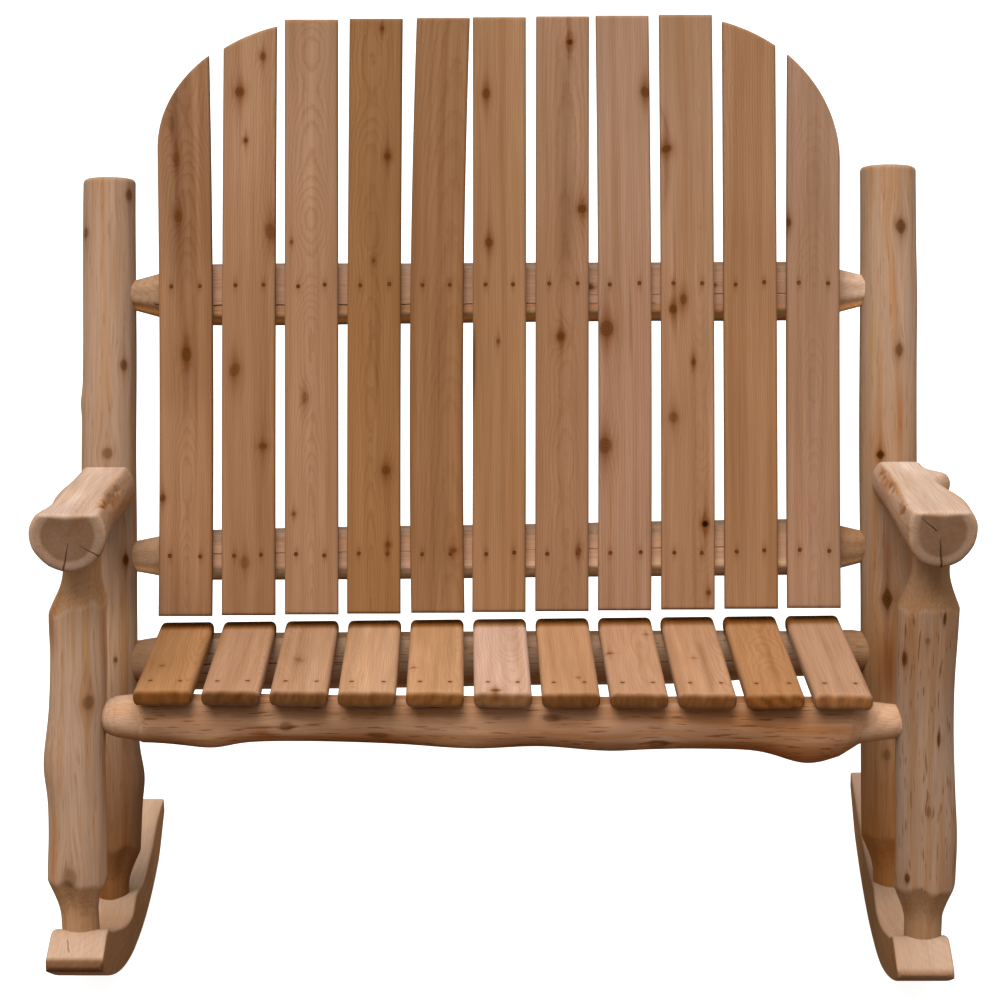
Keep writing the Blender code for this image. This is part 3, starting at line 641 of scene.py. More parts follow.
# Rails
# Four peeled logs across the chair, their ends shaved down to tenons that go into the posts.
# The back rails are sawn flat in front and the seat rails on top, where the slats are screwed on.
RAIL_REACH = SIDE_X + 0.014
SLAT_FIELD = 0.492
# The sawn flats of the back rails are pinkish, and are lightened further as painted light where the slats
# shade them.
FLAT_PINK = np.array((1.40, 1.26, 1.20))
SHAVED = np.array((1.06, 1.12, 1.16))
UNDERBARK = np.array((0.304, 0.167, 0.096))
LOWER_BACK = (0.4838, 0.4994)
UPPER_BACK = (0.8605, 0.8680)
POST_SIDE = 0.046
DOME = 0.026
LONG_START = 0.048
LONG_RADIUS = 0.0205
LONG_REACH = 0.090


def shaved_ends(left, right):
    """Ends shaved by hand, each given as the radius where it goes into the post and the radius
    a finger's width out: a quarter of an ellipse between them, then a slow taper to the log."""
    def turned(place, angle, length, full):
        start, base = (np.where(place < length / 2, *ends) for ends in zip(left, right))
        inward = np.minimum(place, length - place) - POST_SIDE
        dome = start + (base - start) * np.sqrt(1 - (1 - np.clip(inward / DOME, 0, 1)) ** 2)
        taper = 0.13 * np.maximum(0, inward + scallop(angle, 0.5) * step(0.02, 0.06, inward) - 0.014)
        return dome + taper + 0.5 * np.maximum(0, inward - 2 * DOME)
    return turned


def long_taper(place, angle, length, full):
    """End shaved to a long straight taper from the post's side."""
    inward = np.minimum(place, length - place) - LONG_START + scallop(angle, 1.5)
    return LONG_RADIUS + (full * 1.06 - LONG_RADIUS) * np.maximum(inward / LONG_REACH, 0)


def rail(name, node, left, right, stations, seed, turned, flat, **more):
    """A rail is drawn from its left end to its right, with its stations given as x, radius and
    rise."""
    reach, field = RAIL_REACH / MM, SLAT_FIELD / MM
    stations = [(x + reach, radius, 0, *rise) for x, radius, *rise in stations]
    flats = ((*flat, reach - field, reach + field),)
    log_piece(name, node, left, right, stations, seed, turned, flats, **more)


# turns round a rail in degrees: up to the seat, out to the back slats, down and to the front
seat_flat = 88
back_flat = 165.5
under_front = -120
rail(
    "front_seat_log", "front_seat_rail", (-RAIL_REACH, 0, 0.4177), (RAIL_REACH, 0, 0.4122),
    ((-580, 34.5, 2), (-460, 34.5, 2), (-400, 36), (-340, 33.5, 2), (-220, 31.8, 2), (-140, 33, 1),
     (-30, 37.2, -1), (50, 35.2), (155, 39, -2), (200, 37.5, -1), (330, 37.5), (450, 37), (580, 35, 1)),
    seed=13, turned=shaved_ends((0.010, 0.0265), (0.0215, 0.0240)), flat=(seat_flat, 29),
    tone=UNDERBARK, turned_tint=SHAVED, dashes=0.8,
    bulges=((987, -95, 19, 50, 0.9), (200, -110, 4, 30, 0.7), (120, 180, 3, 30, 0.6)),
    knots=((294, 186.88, 6.2, 0.6, 1.3, 2), (644, 159.95, 4, 0.6, 2.5, 2), (786, 220.11, 9, 0.5, 1.3, 2),
           (416, 208.65, 4, 0.6, 3, 2)),
    patches=((190, 220, 45, 0.5, (35, 50, 62)), (262, 206, 11, 0.22, (-20, -45, -62)),
        (295, 190, 38, 0.45, (42, 58, 72)), (520, 222, 40, 0.42, (38, 55, 70)),
        (785, 218, 36, 0.4, (35, 50, 62)), (70, 180, 35, 2, (22, 33, 45)),
        (1085, 180, 35, 2, (28, 40, 52)), (140, under_front, 50, 0.35, (-20, -38, -50)),
        (420, under_front, 90, 0.35, (-25, -40, -50)), (620, under_front, 40, 0.3, (-30, -45, -55)),
        (900, under_front, 80, 0.45, (-10, -28, -45)), (950, 180, 100, 9, (-9, -17, -27)),
        (580, 180, 120, 0.8, (12, 13, 13)), (580, under_front, 1000, 0.35, (-8, -22, -38))),
)
rail(
    "rear_seat_log", "rear_seat_rail", (-RAIL_REACH, 0.4125, 0.3898), (RAIL_REACH, 0.4125, 0.4000),
    ((-580, 42.5, -4), (-450, 42.5), (-300, 42.5), (0, 40.5), (300, 37.8), (400, 33.5, 2), (580, 33.5, 4)),
    seed=17, turned=shaved_ends((0.030, 0.032), (0.030, 0.0315)), flat=(seat_flat, 35.5),
    turned_tint=SHAVED, dashes=0.8,
    checks=(((-39.5, 4, 30), (-41.5, 6, 400), 6, 2.2), ((-40, 2, 950), (-40, 2, 600), 6, 1.2)),
    patches=((550, 215, 2000, 0.4, (-30, -45, -60)), (1100, 180, 60, 9, (-30, -42, -55)),
        (50, 180, 60, 9, (-24, -36, -46))),
)
WANE = (-2, -20, -42)
# Painted light for the back rails' undersides, brightened for light thrown up from the seat.
UNDERSIDE_LIGHT = (190, 150, 50)
RAIL_END = np.array((0.94, 0.89, 0.83))
rail(
    "lower_back_log", "lower_back_rail", lean(-RAIL_REACH, LOWER_BACK[0]), lean(RAIL_REACH, LOWER_BACK[1]),
    ((-580, 34.5), (-300, 37.5), (100, 39.2), (350, 40.2), (580, 40.5)),
    seed=19, turned=long_taper, flat=(back_flat, 30), flat_tint=FLAT_PINK * 1.08, turned_tint=RAIL_END,
    checks=(((-28.5, 7.8, 160), (-28.5, 7.8, 500), 6, 1), ((-28.5, 7.8, 950), (-28.5, 7.8, 550), 6, 1)),
    # The first patch is painted light on the underside, brightened for light thrown up from the seat.
    patches=((500, 222, 2000, 0.3, (200, 240, 240)), (60, 180, 60, 9, (30, 31, 27)),
        (1090, 180, 60, 9, (-17, -23, -34)), (850, back_flat, 250, 0.6, (14, 15, 18))),
)
rail(
    "upper_back_log", "upper_back_rail", lean(-RAIL_REACH, UPPER_BACK[0]), lean(RAIL_REACH, UPPER_BACK[1]),
    ((-580, 40), (-400, 44.5, -1), (-100, 43.5), (200, 42.5), (420, 42.5), (580, 38.5)),
    seed=23, turned=long_taper, flat=(back_flat, 30), flat_tint=FLAT_PINK, turned_tint=RAIL_END,
    tone=PEELED * BACK_SHADE,
    checks=(((-33.8, -10.9, 60), (-33.8, -10.9, 800), 6, 1.6), ((-31, 1, 1020), (-31, 1, 660), 6, 1)),
    knots=((704, back_flat - 8.59, 6, 0.8, 1.1, 2), (883, back_flat - 11.46, 4, 0.8, 1.1, 2)),
    # The underside patch is painted light.
    patches=((500, 204, 2000, 0.1, WANE), (500, 228, 2000, 0.22, UNDERSIDE_LIGHT),
        (1110, 180, 55, 9, (76, 105, 145)), (50, 180, 60, 9, (-7, -8, -13))),
)

# Arms
# Thicker logs sawn flat on top, sitting on the front posts' tenons and lagged to the back posts.
# Their front ends are cut square and rounded over, and show dark heartwood in a pale ring of sapwood.
ARM_PALE = np.array((1.21, 1.36, 1.57))
ARM_FRONT = -0.090
ARM_REAR = 0.4356
# ends (x, height), flat, stations, swells, torn places, cracks, stains
left_arm = (
    (-557, 685.1), (-562, 641.7), 28.3,
    ((0, 48.7), (50, 47), (140, 42), (260, 39.5), (400, 40.5), (560, 41.5)),
    ((15, 5, 4.5, 45, 0.7), (170, 160, 4, 30, 0.4), (250, 160, -3, 30, 0.4), (270, 15, 8.5, 110, 0.6)),
    ((120, 146, 50, 0.17), (210, 147, 55, 0.19), (330, 150, 70, 0.19)),
    (((6.5, -44, 0), (0.4, -10.6, 0), 6, 1.9), ((-42.5, -28.5, 0), (-15.2, -13.3, 0), 5, 1.5)),
    ((180, 148, 100, 0.16, (-20, -33, -43)), (220, 168, 160, 0.22, (-5, -16, -30)),
     (250, 75.68, 1000, 0.22, (10, 13, 17)), (220, 118.65, 300, 0.2, (-6, -9, -12)),
     (50, 90, 100, 0.7, (-13, -14, -11))),
)
right_arm = (
    (570.5, 690.2), (570, 651.5), 26.5,
    ((0, 47), (50, 46.5), (140, 44), (260, 40.5), (400, 38.5), (560, 38.5)),
    ((395, 163, 21.5, 50, 0.5), (0, 0, -5, 50, 0.5), (150, 165, 8.5, 110, 0.55)),
    ((420, 31, 50, 0.2), (300, 29, 50, 0.18), (90, 20, 40, 0.18)),
    (((-1, -46, 0), (1.6, -9, 0), 6, 2.4), ((6.4, 1.8, 0), (24, 17, 0), 4, 1.6)),
    ((360, 25, 50, 0.22, (-6, -26, -46)), (250, 104.32, 1000, 0.22, (10, 13, 17)),
     (220, 61.35, 300, 0.2, (-6, -9, -12)), (50, 90, 100, 0.7, (-7, -8, -5))),
)
for side_name, seed, arm in (("left", 29, left_arm), ("right", 31, right_arm)):
    (front_x, front_z), (rear_x, rear_z), flat, stations, swells, rips, cracks, stains = arm
    log_piece(
        f"{side_name}_arm_log", f"{side_name}_arm", (front_x * MM, ARM_FRONT, front_z * MM),
        (rear_x * MM, ARM_REAR, rear_z * MM), stations, seed, flats=((90, flat, -1000, 2000),),
        bulges=swells, torn=rips, checks=cracks, patches=stains, flat_tint=ARM_PALE, cap=(0.008, 0.005),
        blend=0.0014, lump=0.016,
    )

# Seat slats
# Planed boards with rounded edges, laid side by side across the seat rails and held by two
# screws at each rail. Their front ends overhang the front rail.
SLAT_WIDTH = 0.0762
SLAT_THICKNESS = 0.022
SEAT_TILT = radians(2.0)
END_GRAIN = np.array((0.335, 0.242, 0.138))
# Painted shadow of the back slats' lower ends on the rear ends of the seat boards.
PAINTED_REAR_SHADOW = np.array((0.52, 0.68, 0.86))
END_LIGHT = (1.30, 0.90, 1.0, 1.10, 1.25, 1.20, 1.0, 1.05, 1.18, 1.55, 1.65)
SCREW_SPREAD = 0.0202
MOTTLE = 0.04 * np.array((0.8, 1.0, 1.2))
VEIN_TINT = 0.01 * np.array((0.85, 1.0, 1.15))
slat_cedar = cedar("slat_cedar", (62, 62, 1.4), (0.80, 0.68, 0.54, 1), (0.87, 0.80, 0.73, 1), 0.10)


def corner_cut(x, corner):
    """Quarter circle that rounds a board's corner in plan: how far its end is cut back at x."""
    past = np.clip((np.abs(x) - SLAT_WIDTH / 2) / corner + 1, 0, 1)
    return corner * (1 - np.sqrt(1 - past ** 2))


def board(name, node, low_cut, high_cut, place, grow, tone, knots, veins, screws, seed, slot, edge,
          round_end, spacing, end_tint=np.ones(3), rear_shadow=np.zeros(3), bleach=np.zeros(3), bow=(0, 0)):
    """A board: its rounded profile carried along its length, whose ends are cut at given
    lengths for each place across. Growth rings are circles about a pith that lies some way
    behind the board and drifts along it, so they show as straight grain or as arches, and
    they and the fibres swerve round the knots. Veins are long lighter or darker stripes, some
    aslant; the far end can be darkened with a painted shadow and the far half bleached by the
    sun. Growth, knots, veins and bow are in millimetres, and the tone in thousandths."""
    x, y = board_profile(SLAT_WIDTH, SLAT_THICKNESS, edge, 39)
    bend = np.linspace(0, pi / 2, 6)
    ends = round_end * (1 - np.sin(bend))
    low, high = low_cut(x)[None], high_cut(x)[None]
    length = high.max()
    share = np.linspace(0, 1, int(length / spacing))[1:-1, None]
    middle = low + round_end + (high - low - 2 * round_end) * share
    along = np.concatenate((low + ends[::-1, None], middle, high - ends[:, None]))
    pinch = 1 - 2 * round_end / SLAT_THICKNESS * (1 - np.cos(bend)) * 0.9
    thick = np.concatenate((pinch[::-1], np.ones(len(share)), pinch))[:, None]
    local = fold_ends(np.stack(np.broadcast_arrays(x[None], y[None] * thick, along), axis=-1))
    across, s = local[..., 0], local[..., 2]
    front = step(-0.2, 0.2, local[..., 1] / SLAT_THICKNESS)

    rng = np.random.default_rng(seed)
    pace, start = rng.uniform(8, 60, 6), rng.uniform(0, 2 * pi, 6)
    pith_x, pith_y, drift, width, wave = np.array(grow) * MM
    waves = np.sum(np.sin(pace * s[..., None] + start) / (pace / 8) ** 0.6, axis=-1)
    deep = pith_y + drift * s + wave * waves
    ring = np.hypot(across - pith_x, deep - local[..., 1]) / width
    bent, stain = across.copy(), np.zeros(s.shape)
    nearest, dark = np.full(s.shape, 9.0), np.zeros(s.shape)
    for at, where, size, strength, stretch, *tilt in knots:
        dx, ds, size, tilt = across - at * MM, s - where * MM, size * MM, sum(tilt)
        ring = ring + 2.4 * bell(dx, 2.0 * size) * bell(ds, 4.5 * size)
        bent = bent - 0.75 * dx * bell(dx, 2.2 * size) * bell(ds, 5 * size)
        smear = 0.85 * bell(dx, 1.7 * size) * bell(ds, 2.6 * size * stretch)
        smear = smear + 0.65 * bell(dx, 0.7 * size) * bell(ds, 7 * size)
        stain = stain + strength * smear * front
        radii = np.hypot((dx + tilt * ds) / size, (ds - tilt * dx) / (stretch * size)) + 3 * (1 - front)
        dark = np.where(radii < nearest, strength, dark)
        nearest = np.minimum(nearest, radii)
    for at, where in screws:
        stain = stain + 0.6 * bell(across - at, 0.0036) * bell(s - where, 0.010) * front
    ring = ring - ring.min() + 3
    mottle = np.sin(26 * across / SLAT_WIDTH + 3 * np.sin(2.2 * s + seed)) + np.sin(2.9 * s + seed)
    colour = np.array(tone) / 1000 * (1 + mottle[..., None] * MOTTLE)
    colour = colour * (1 + step(0.35, 0.75, s)[..., None] * bleach)
    for *sizes, change, slant in ((*vein, 0)[:6] for vein in veins):
        at, wide, first, last = np.array(sizes) * MM
        middle = at + 0.0025 * np.sin(6 * s + seed) + slant * (s - (first + last) / 2)
        stripe = step(first - 0.04, first + 0.04, s) * step(last + 0.04, last - 0.04, s)
        stripe = bell(across - middle, wide) * stripe
        colour = colour * (1 + stripe[..., None] * change * VEIN_TINT)
    rim = np.sin(bend) ** 2
    end_rows = np.concatenate(([1], rim[::-1], np.zeros(len(share)), rim, [1]))[:, None, None]
    blotch = 1 + 0.20 * lumps(seed + 3, 260 * across, 22 * local[..., 1])[..., None]
    # Painted shadow: the rear end is darkened where the back slats shade it.
    shadow_share = step(length - 0.075, length - 0.042, s)[..., None]
    colour = colour * (1 + end_rows * (end_tint * blotch - 1)) * (1 - shadow_share * rear_shadow)
    knot = np.stack((nearest, dark, np.clip(stain, 0, 1)), axis=-1)
    grain = np.stack((bent, local[..., 1], s), axis=-1)
    moved = local.copy()
    moved[..., 0] += MM * (bow[0] * (s - length / 2) + bow[1] * (s - length / 2) ** 2)
    marks = wood_marks(grain, ring, colour, knot, shift=0.61 * seed)
    add_rings(name, place(moved), marks, slat_cedar, slot, node)


SEAT_PITCH = SLAT_WIDTH + 0.0133
SEAT_SKEW = 0.0047
SEAT_FRONT = 0.059
SEAT_TOP = 0.4665
SEAT_TWIST = 0.008
FRONT_TWIST = 0.003
SCREW_STRAY = 0.0017
SEAT_LENGTH = 0.480
SEAT_SCREWS = (SEAT_FRONT + 0.002, SEAT_LENGTH - 0.013)


def seat_place(local, x):
    """Seat plane: length runs to the rear and falls with the seat's tilt, thickness stands up.
    The frame stands a little twisted, so the left boards fall more to the rear than the right,
    and the boards are laid a hair out of square."""
    across, thick, along = np.moveaxis(local, -1, 0)
    thick = thick - SLAT_THICKNESS / 2
    y = -SEAT_FRONT + along * cos(SEAT_TILT) + thick * sin(SEAT_TILT)
    z = SEAT_TOP + SEAT_FRONT * tan(SEAT_TILT) - along * sin(SEAT_TILT) + thick * cos(SEAT_TILT)
    twist = SEAT_TWIST * along / SEAT_LENGTH - FRONT_TWIST
    z = z + (across + x) / (5 * SEAT_PITCH) * twist
    return np.stack((across + x + SEAT_SKEW * (1 - along / SEAT_LENGTH), y, z), axis=-1) + CHAIR_SHIFT


def end_wave(x, phase):
    """Three waves across a board's front end, left by hand-guided rounding over."""
    wave = 0.0015 * np.sin(70 * x + 2.1 * phase) + 0.0011 * np.sin(190 * x + 3.7 * phase)
    return wave + 0.0007 * np.sin(430 * x + phase)


def screw_spots(seed, lengths):
    """Two screws across the board at each length, none of them placed exactly."""
    rng = np.random.default_rng(seed)
    spots = [(offset, length) for length in lengths for offset in (-SCREW_SPREAD, SCREW_SPREAD)]
    spots = np.array(spots)
    return spots + rng.uniform(-SCREW_STRAY, SCREW_STRAY, spots.shape)


# tone, knots (across, length, size, darkness, stretch, tilt), veins (across, width, from, to,
# change, slant)
seat_slats = (
    ((270, 134, 57), ((-12, 160, 3, 0.6, 1),), ()),
    ((282, 157, 90), (), ((0, 12, 50, 400, -6),)),
    ((281, 160, 93), ((-8, 200, 5, 0.35, 3, 0.3),), ((-10, 6, 50, 420, -10), (20, 8, 0, 480, 6))),
    ((311, 180, 102), (), ((-4, 9, 0, 480, 16),)),
    ((334, 186, 98), ((-30, 150, 4, 0.7, 0.5),), ((20, 14, 0, 480, -7),)),
    ((376, 242, 175), ((-10, 12, 6, 0.8, 1.2),), ((12, 10, 0, 480, -6),)),
    ((301, 161, 84), ((12, 90, 3, 0.5, 1),), ()),
    ((298, 164, 94), ((-30, 240, 5, 0.7, 0.6, 0.3), (26, 360, 4, 0.6, 0.5)), ((30, 8, 0, 480, 7),)),
    ((285, 156, 86), ((-6, 210, 4, 0.6, 0.5),), ((6, 4, 20, 300, -22), (-20, 10, 0, 480, 10))),
    ((264, 132, 59), (), ((10, 12, 100, 400, -8),)),
    ((310, 180, 111), (), ((0, 12, 0, 480, -5),)),
)
seat_screws = []
for index, (tone, knots, veins) in enumerate(seat_slats):
    x = (index - 5) * SEAT_PITCH
    rng = np.random.default_rng(100 + index)
    grow = (rng.uniform(-50, 50), rng.uniform(20, 60), rng.uniform(-60, 60), 2.8, 1.2)
    screws = screw_spots(300 + index, SEAT_SCREWS)
    seat_screws.append(seat_place(np.insert(screws, 1, SLAT_THICKNESS / 2, axis=1), x))
    board(f"seat_board_{index + 1:02d}", f"seat_slat_{index + 1:02d}",
          lambda x, i=index: end_wave(x, i) + corner_cut(x, corner=0.005),
          lambda x: SEAT_LENGTH - corner_cut(x, corner=0.009),
          lambda local, x=x: seat_place(local, x), grow, tone, knots, veins, screws, 100 + index,
          "seat_slat", edge=0.0075, round_end=0.0075, spacing=0.0036,
          end_tint=END_GRAIN * END_LIGHT[index], rear_shadow=PAINTED_REAR_SHADOW)

# Back slats
# Longer boards screwed to the front of the two back rails, two screws at each. Once up, the
# tops of the outer two on each side were cut on one curve, which rounds the back's corners.
BACK_FORWARD = 0.0303 + SLAT_THICKNESS
BACK_LOW = 0.4031
BACK_LENGTH = 0.8529
BACK_STEP = 0.00115
BACK_PITCH = SLAT_WIDTH + 0.0134
FIELD_HALF = 5 * BACK_PITCH + SLAT_WIDTH / 2
CORNER_REACH = 0.238
CORNER_DROP = 0.186
CORNER_CUTS = {0: 1.0, 1: 1.0, 9: 1.03, 10: 1.10}
SCREW_RISES = ((0.4825, 0.4908), (0.869, 0.873))
BLEACHED = np.array((0.02, 0.08, 0.16))
DRIER = np.array((1.015, 1.03, 1.065))


def corner_drop(x):
    """Quarter of an ellipse: how far the cut corner lies below the level top at x. The cut
    bites a little deeper on the right."""
    deeper = np.where(x > 0, 1.055, 1.0)
    part = np.clip(1 - (FIELD_HALF - np.abs(x)) / (CORNER_REACH * deeper ** 0.5), 0, 1)
    return CORNER_DROP * deeper * (1 - np.sqrt(1 - part ** 2))


def back_place(local, x, low):
    """Leaning plane: length runs up along the posts, thickness out to the front."""
    across, thick, along = np.moveaxis(local, -1, 0)
    spot = lean(across + x, low + along, BACK_FORWARD - SLAT_THICKNESS / 2 + thick)
    return np.stack(np.broadcast_arrays(*spot), axis=-1) + CHAIR_SHIFT


# tone, growth (pith across, pith behind, drift, ring width, waviness), lean and bow,
# knots (across, height, size, darkness, stretch, tilt), veins (across, width, from, to, change,
# slant)
back_slats = (
    ((236, 122, 61), (2, 16, 60, 2.8, 3.4), (-9, -20),
     ((-9, 571, 5, 0.6, 1.6), (1, 373, 6, 0.9, 1.5), (-33, 168, 4, 0.8, 1), (-16, 703, 4, 0.4, 3),
      (-10.5, 653, 4, 0.55, 2.5)),
     ((18, 3.5, 0, 850, 22), (-12, 10, 450, 800, -22), (2, 12, 250, 450, -10), (0, 50, 300, 900, -17),
      (0, 50, 500, 900, -19))),
    ((214, 110, 54.5), (60, 50, 20, 3, 0.8), (0, 5),
     ((-14, 749, 6.5, 0.85, 1.1), (19, 800, 4, 0.7, 1.3), (-5, 679, 3, 0.9, 1), (31, 548, 7, 0.6, 1.6, 0.2),
      (-19, 350, 7, 0.65, 1.5, -0.4), (21, 241, 6, 0.8, 0.6), (-5, 75, 6, 0.45, 1.3)),
     ((0, 20, 620, 850, 10), (15, 12, 100, 350, -7))),
    ((228, 122, 65), (0, 14, 60, 2.6, 4), (-2.7, 0),
     ((-28, 532, 2.2, 0.7, 1.2), (-9, 309, 5, 0.45, 1.5), (-25, 143, 3, 0.7, 1)),
     ((24, 12, 0, 850, -5), (0, 20, 550, 850, 6))),
    ((183, 86, 33), (-4, 16, 40, 3.4, 3), (2.5, 6.5),
     ((18, 654, 4.2, 1, 1), (9, 838, 3, 0.85, 1.1), (-1, 504, 2.8, 0.6, 1), (18, 204, 6.2, 0.75, 1),
      (20, 98, 3, 0.8, 1)),
     ((6, 3, 300, 570, -24), (-20, 12, 0, 850, 7))),
    ((189, 92, 40.5), (20, 60, 50, 3, 0.9), (8.4, 29.5),
     ((24, 89, 5, 0.7, 0.5),),
     ((2, 10, 50, 450, -8), (26, 6, 0, 600, 10), (-18, 10, 200, 850, 6))),
    ((224, 114, 53.3), (100, 50, 0, 3.2, 0.8), (0.7, -3),
     ((-19, 742, 5.5, 0.75, 1.3), (-15, 528, 5, 0.8, 1.2, 0.2), (-2, 386, 2.5, 0.7, 1.2)),
     ((-36, 2.5, 300, 400, -75), (18, 12, 0, 850, 6))),
    ((214, 111.6, 58.4), (5, 35, 30, 3, 1.2), (1.9, 0.5),
     ((10, 815, 4.2, 1.2, 1), (28, 575, 6, 0.95, 1), (-2, 392, 5.5, 0.9, 1), (24, 86, 3.5, 0.8, 1, 0.4)),
     ((3, 8, 500, 800, -26), (9, 1.2, 790, 860, -45), (4, 14, 450, 620, -12))),
    ((233, 129, 76), (-90, 50, 10, 3.6, 1), (-2.8, -12),
     ((31, 742, 6, 0.85, 1.3, 0.3), (-26, 402, 9.5, 0.8, 1.15), (-29, 235, 8.5, 0.75, 1.3)),
     ((6, 1.5, 360, 460, -35), (0, 20, 550, 850, 7))),
    ((235, 127, 68), (18, 50, -50, 2.7, 3.4), (-2.2, -6.5),
     ((-29, 659, 7.5, 0.95, 0.7, 0.45), (-6, 443, 4.8, 0.7, 1.5), (-21, 429, 5, 0.95, 1.2),
      (8, 353, 3, 0.85, 1.6), (-21, 274, 6, 0.6, 1.1), (24, 122, 4.5, 1.4, 1), (29, 24, 3, 0.8, 1)),
     ((-17, 1.6, 380, 560, -35), (12, 12, 0, 400, -9), (30, 6, 0, 300, 10),
      (-29, 1.8, 690, 710, -55, -0.28), (-28, 4.5, 580, 620, -25, 0.15))),
    ((217, 109, 51.6), (-60, 40, 20, 3.1, 0.8), (-1.6, -1.5),
     (), ((-16, 6, 500, 800, -12), (10, 12, 0, 500, 7))),
    ((232, 130, 76.6), (0, 20, 50, 3, 2.4), (3.4, 9.5),
     ((-36, 551, 3.5, 0.95, 1.5),),
     ((0, 14, 100, 600, -6), (-20, 10, 0, 850, 5), (0, 50, 0, 220, 9))),
)
back_screws = []
for index, (tone, grow, bow, knots, veins) in enumerate(back_slats):
    x = (index - 5) * BACK_PITCH
    low = BACK_LOW + (index - 5) * BACK_STEP
    cut = CORNER_CUTS.get(index, 0.0)
    rises = [np.interp(x, (-FIELD_HALF, FIELD_HALF), ends) - low for ends in SCREW_RISES]
    screws = screw_spots(400 + index, rises)
    back_screws.append(back_place(np.insert(screws, 1, SLAT_THICKNESS / 2, axis=1), x, low))
    board(f"back_board_{index + 1:02d}", f"back_slat_{index + 1:02d}", lambda x: 0 * x,
          lambda across, x=x, cut=cut: BACK_LENGTH - cut * corner_drop(across + x),
          lambda local, x=x, low=low: back_place(local, x, low), grow, np.array(tone) * DRIER, knots,
          veins, screws, 200 + index, "back_slat", edge=0.0045, round_end=0.0045, spacing=0.0029,
          bleach=BLEACHED, bow=bow)

# Screws
# Brown-coated deck screws hold the slats, driven flush with a square bit. Plain steel screws
# lock every tenon of the frame, and a lag screw from behind holds each arm.


def coated(name, colour, worn, metallic, shine, roughness):
    """Metal whose coat is rubbed through to another colour in small cloudy spots."""
    material = bpy.data.materials.new(name)
    material.use_nodes = True
    node = node_maker(material.node_tree)
    place = node("ShaderNodeTexCoord", {}).outputs["Object"]
    cloud = node("ShaderNodeTexNoise", {"Vector": place, "Scale": 420.0, "Detail": 2.0}).outputs[0]
    shader = material.node_tree.nodes["Principled BSDF"]
    for socket, low, high in (("Base Color", colour, worn), ("Roughness", roughness, roughness - 0.15)):
        mottled = ramp_of(node, cloud, (0.45, low), (0.70, high))
        material.node_tree.links.new(mottled, shader.inputs[socket])
    shader.inputs["Metallic"].default_value = metallic
    shader.inputs["Specular IOR Level"].default_value = shine
    return material


def screw_heads(name, centres, out, right, material):
    """Heads of slat screws: turned about out through a row of (radius, height), with a square
    socket, whose radius is divided by the larger of cosine and sine."""
    profile = ((0, -1.2), (3.2, -1.2), (3.2, 0.1), (2.7, 0.5), (1.5, 0.5), (1.2, 0.1), (0, 0.1))
    profile = np.array(profile) * MM
    sides = 8
    turn = 2 * pi * np.arange(sides) / sides
    square = np.where(np.arange(len(profile)) >= 4, 1, 0)[:, None]
    radius = profile[:, :1] / np.maximum(np.abs(np.cos(turn)), np.abs(np.sin(turn))) ** square
    upright = np.cross(out, right)
    shape = (radius * np.cos(turn))[..., None] * right + (radius * np.sin(turn))[..., None] * upright
    shape = shape + profile[:, 1, None, None] * out
    corner = (centres[:, None, None] + shape).reshape(-1, 3)
    number = np.arange(len(profile) * sides).reshape(len(profile), sides)
    ahead = np.roll(number, -1, axis=1)
    for pole in (0, -1):
        number[pole] = ahead[pole] = number[pole, 0]
    lower = np.stack((number[:-1], ahead[:-1], ahead[1:]), axis=-1)
    upper = np.stack((number[:-1], ahead[1:], number[1:]), axis=-1)
    one = np.concatenate((lower[1:].reshape(-1, 3), upper[:-1].reshape(-1, 3)))
    faces = (one + len(profile) * sides * np.arange(len(centres))[:, None, None]).reshape(-1, 3)
    used, faces = np.unique(faces, return_inverse=True)
    mesh_piece(name, corner[used], faces.reshape(-1, 3), {}, material, "screw")


brown_steel = coated("brown_steel", (0.066, 0.021, 0.003), (0.115, 0.042, 0.009), 0.0, 0.05, 0.60)
dull_steel = coated("dull_steel", (0.15, 0.14, 0.13), (0.24, 0.22, 0.20), 1.0, 0.5, 0.50)
sideways = np.array((1.0, 0, 0))
for name, centres, tilt in (
    ("seat_slat_screws", seat_screws, (0, sin(SEAT_TILT), cos(SEAT_TILT))),
    ("back_slat_screws", back_screws, (0, -cos(RECLINE), sin(RECLINE))),
):
    screw_heads(name, np.concatenate(centres), np.array(tilt), sideways, brown_steel)
for node_name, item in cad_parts.items():
    if node_name.endswith("_screw"):
        item.data.materials.clear()
        item.data.materials.append(dull_steel)

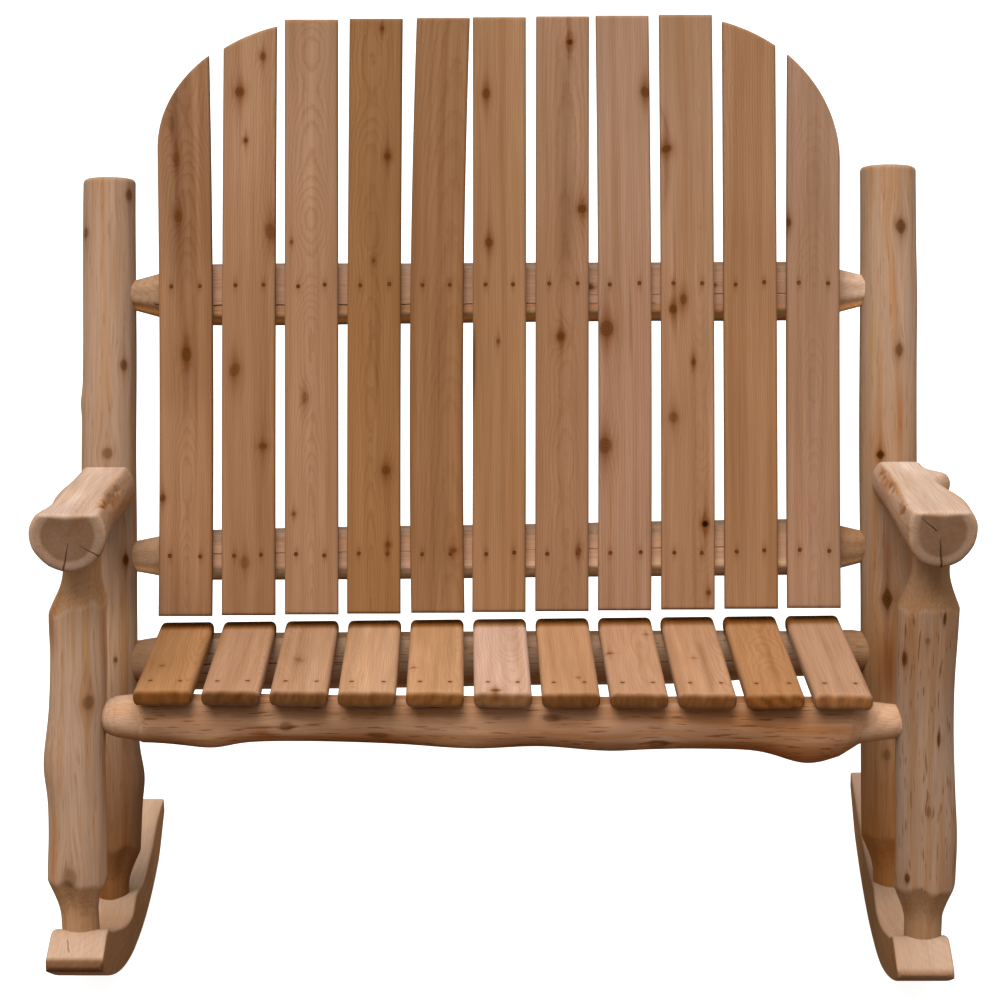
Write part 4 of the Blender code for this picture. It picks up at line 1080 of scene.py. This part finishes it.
# Studio
# A plain pale floor under a broad soft light from above and a little to the left, with a weak
# warm light from all round, as a white photo tent gives.
FLOOR_HALF = 60
floor_corners = [(-FLOOR_HALF, -FLOOR_HALF, 0), (FLOOR_HALF, -FLOOR_HALF, 0), (FLOOR_HALF, FLOOR_HALF, 0),
                 (-FLOOR_HALF, FLOOR_HALF, 0)]
floor_mesh = bpy.data.meshes.new("floor")
floor_mesh.from_pydata(floor_corners, [], [(0, 1, 2, 3)])
floor = set_up("floor", floor_mesh)
floor.visible_diffuse = False
floor.visible_shadow = False
pale_floor = bpy.data.materials.new("pale_floor")
pale_floor.use_nodes = True
for socket, value in (("Base Color", (0.25, 0.25, 0.25, 1)), ("Roughness", 0.9),
                      ("Emission Color", (1, 1, 1, 1)), ("Emission Strength", 0.93)):
    pale_floor.node_tree.nodes["Principled BSDF"].inputs[socket].default_value = value
floor_mesh.materials.append(pale_floor)
floor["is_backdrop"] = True

world = bpy.data.worlds.new("studio")
bpy.context.scene.world = world
world.use_nodes = True
sky = node_maker(world.node_tree)
direction = sky("ShaderNodeTexCoord", {}).outputs["Generated"]
rise = sky("ShaderNodeSeparateXYZ", {0: direction}).outputs[2]
rise = sky("ShaderNodeMapRange", {0: rise, 1: -1.0, 2: 1.0, 3: 0.0, 4: 1.0}).outputs[0]
below, level = (0.17, 0.12, 0.08), (0.22, 0.18, 0.15)
glow = ramp_of(sky, rise, (0.0, below), (0.45, level), (0.75, 0.55), (1.0, 0.75))
background = world.node_tree.nodes["Background"]
world.node_tree.links.new(glow, background.inputs["Color"])
background.inputs["Strength"].default_value = 1.9
key = bpy.data.lights.new("key", "SUN")
key.energy = 4.1
key.angle = radians(45)
set_up("key", key).rotation_euler = (radians(32), 0, radians(-18))
bpy.context.scene.view_settings.view_transform = "Standard"

FILM_WIDTH = 36
FOCAL_PER_WIDTH = 3.7708
LOOK_DOWN = radians(11.921)
camera = bpy.data.cameras.new("camera")
camera.sensor_width = FILM_WIDTH
camera.lens = FOCAL_PER_WIDTH * FILM_WIDTH
viewpoint = set_up("camera", camera)
viewpoint.location = (-0.0053, -5.1642, 1.7361)
viewpoint.rotation_euler = (pi / 2 - LOOK_DOWN, 0, 0)
bpy.context.scene.camera = viewpoint

boxes = {"cad": cad_box, "visual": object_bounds()}
boxes = {name: [list(map(float, corner)) for corner in box] for name, box in boxes.items()}
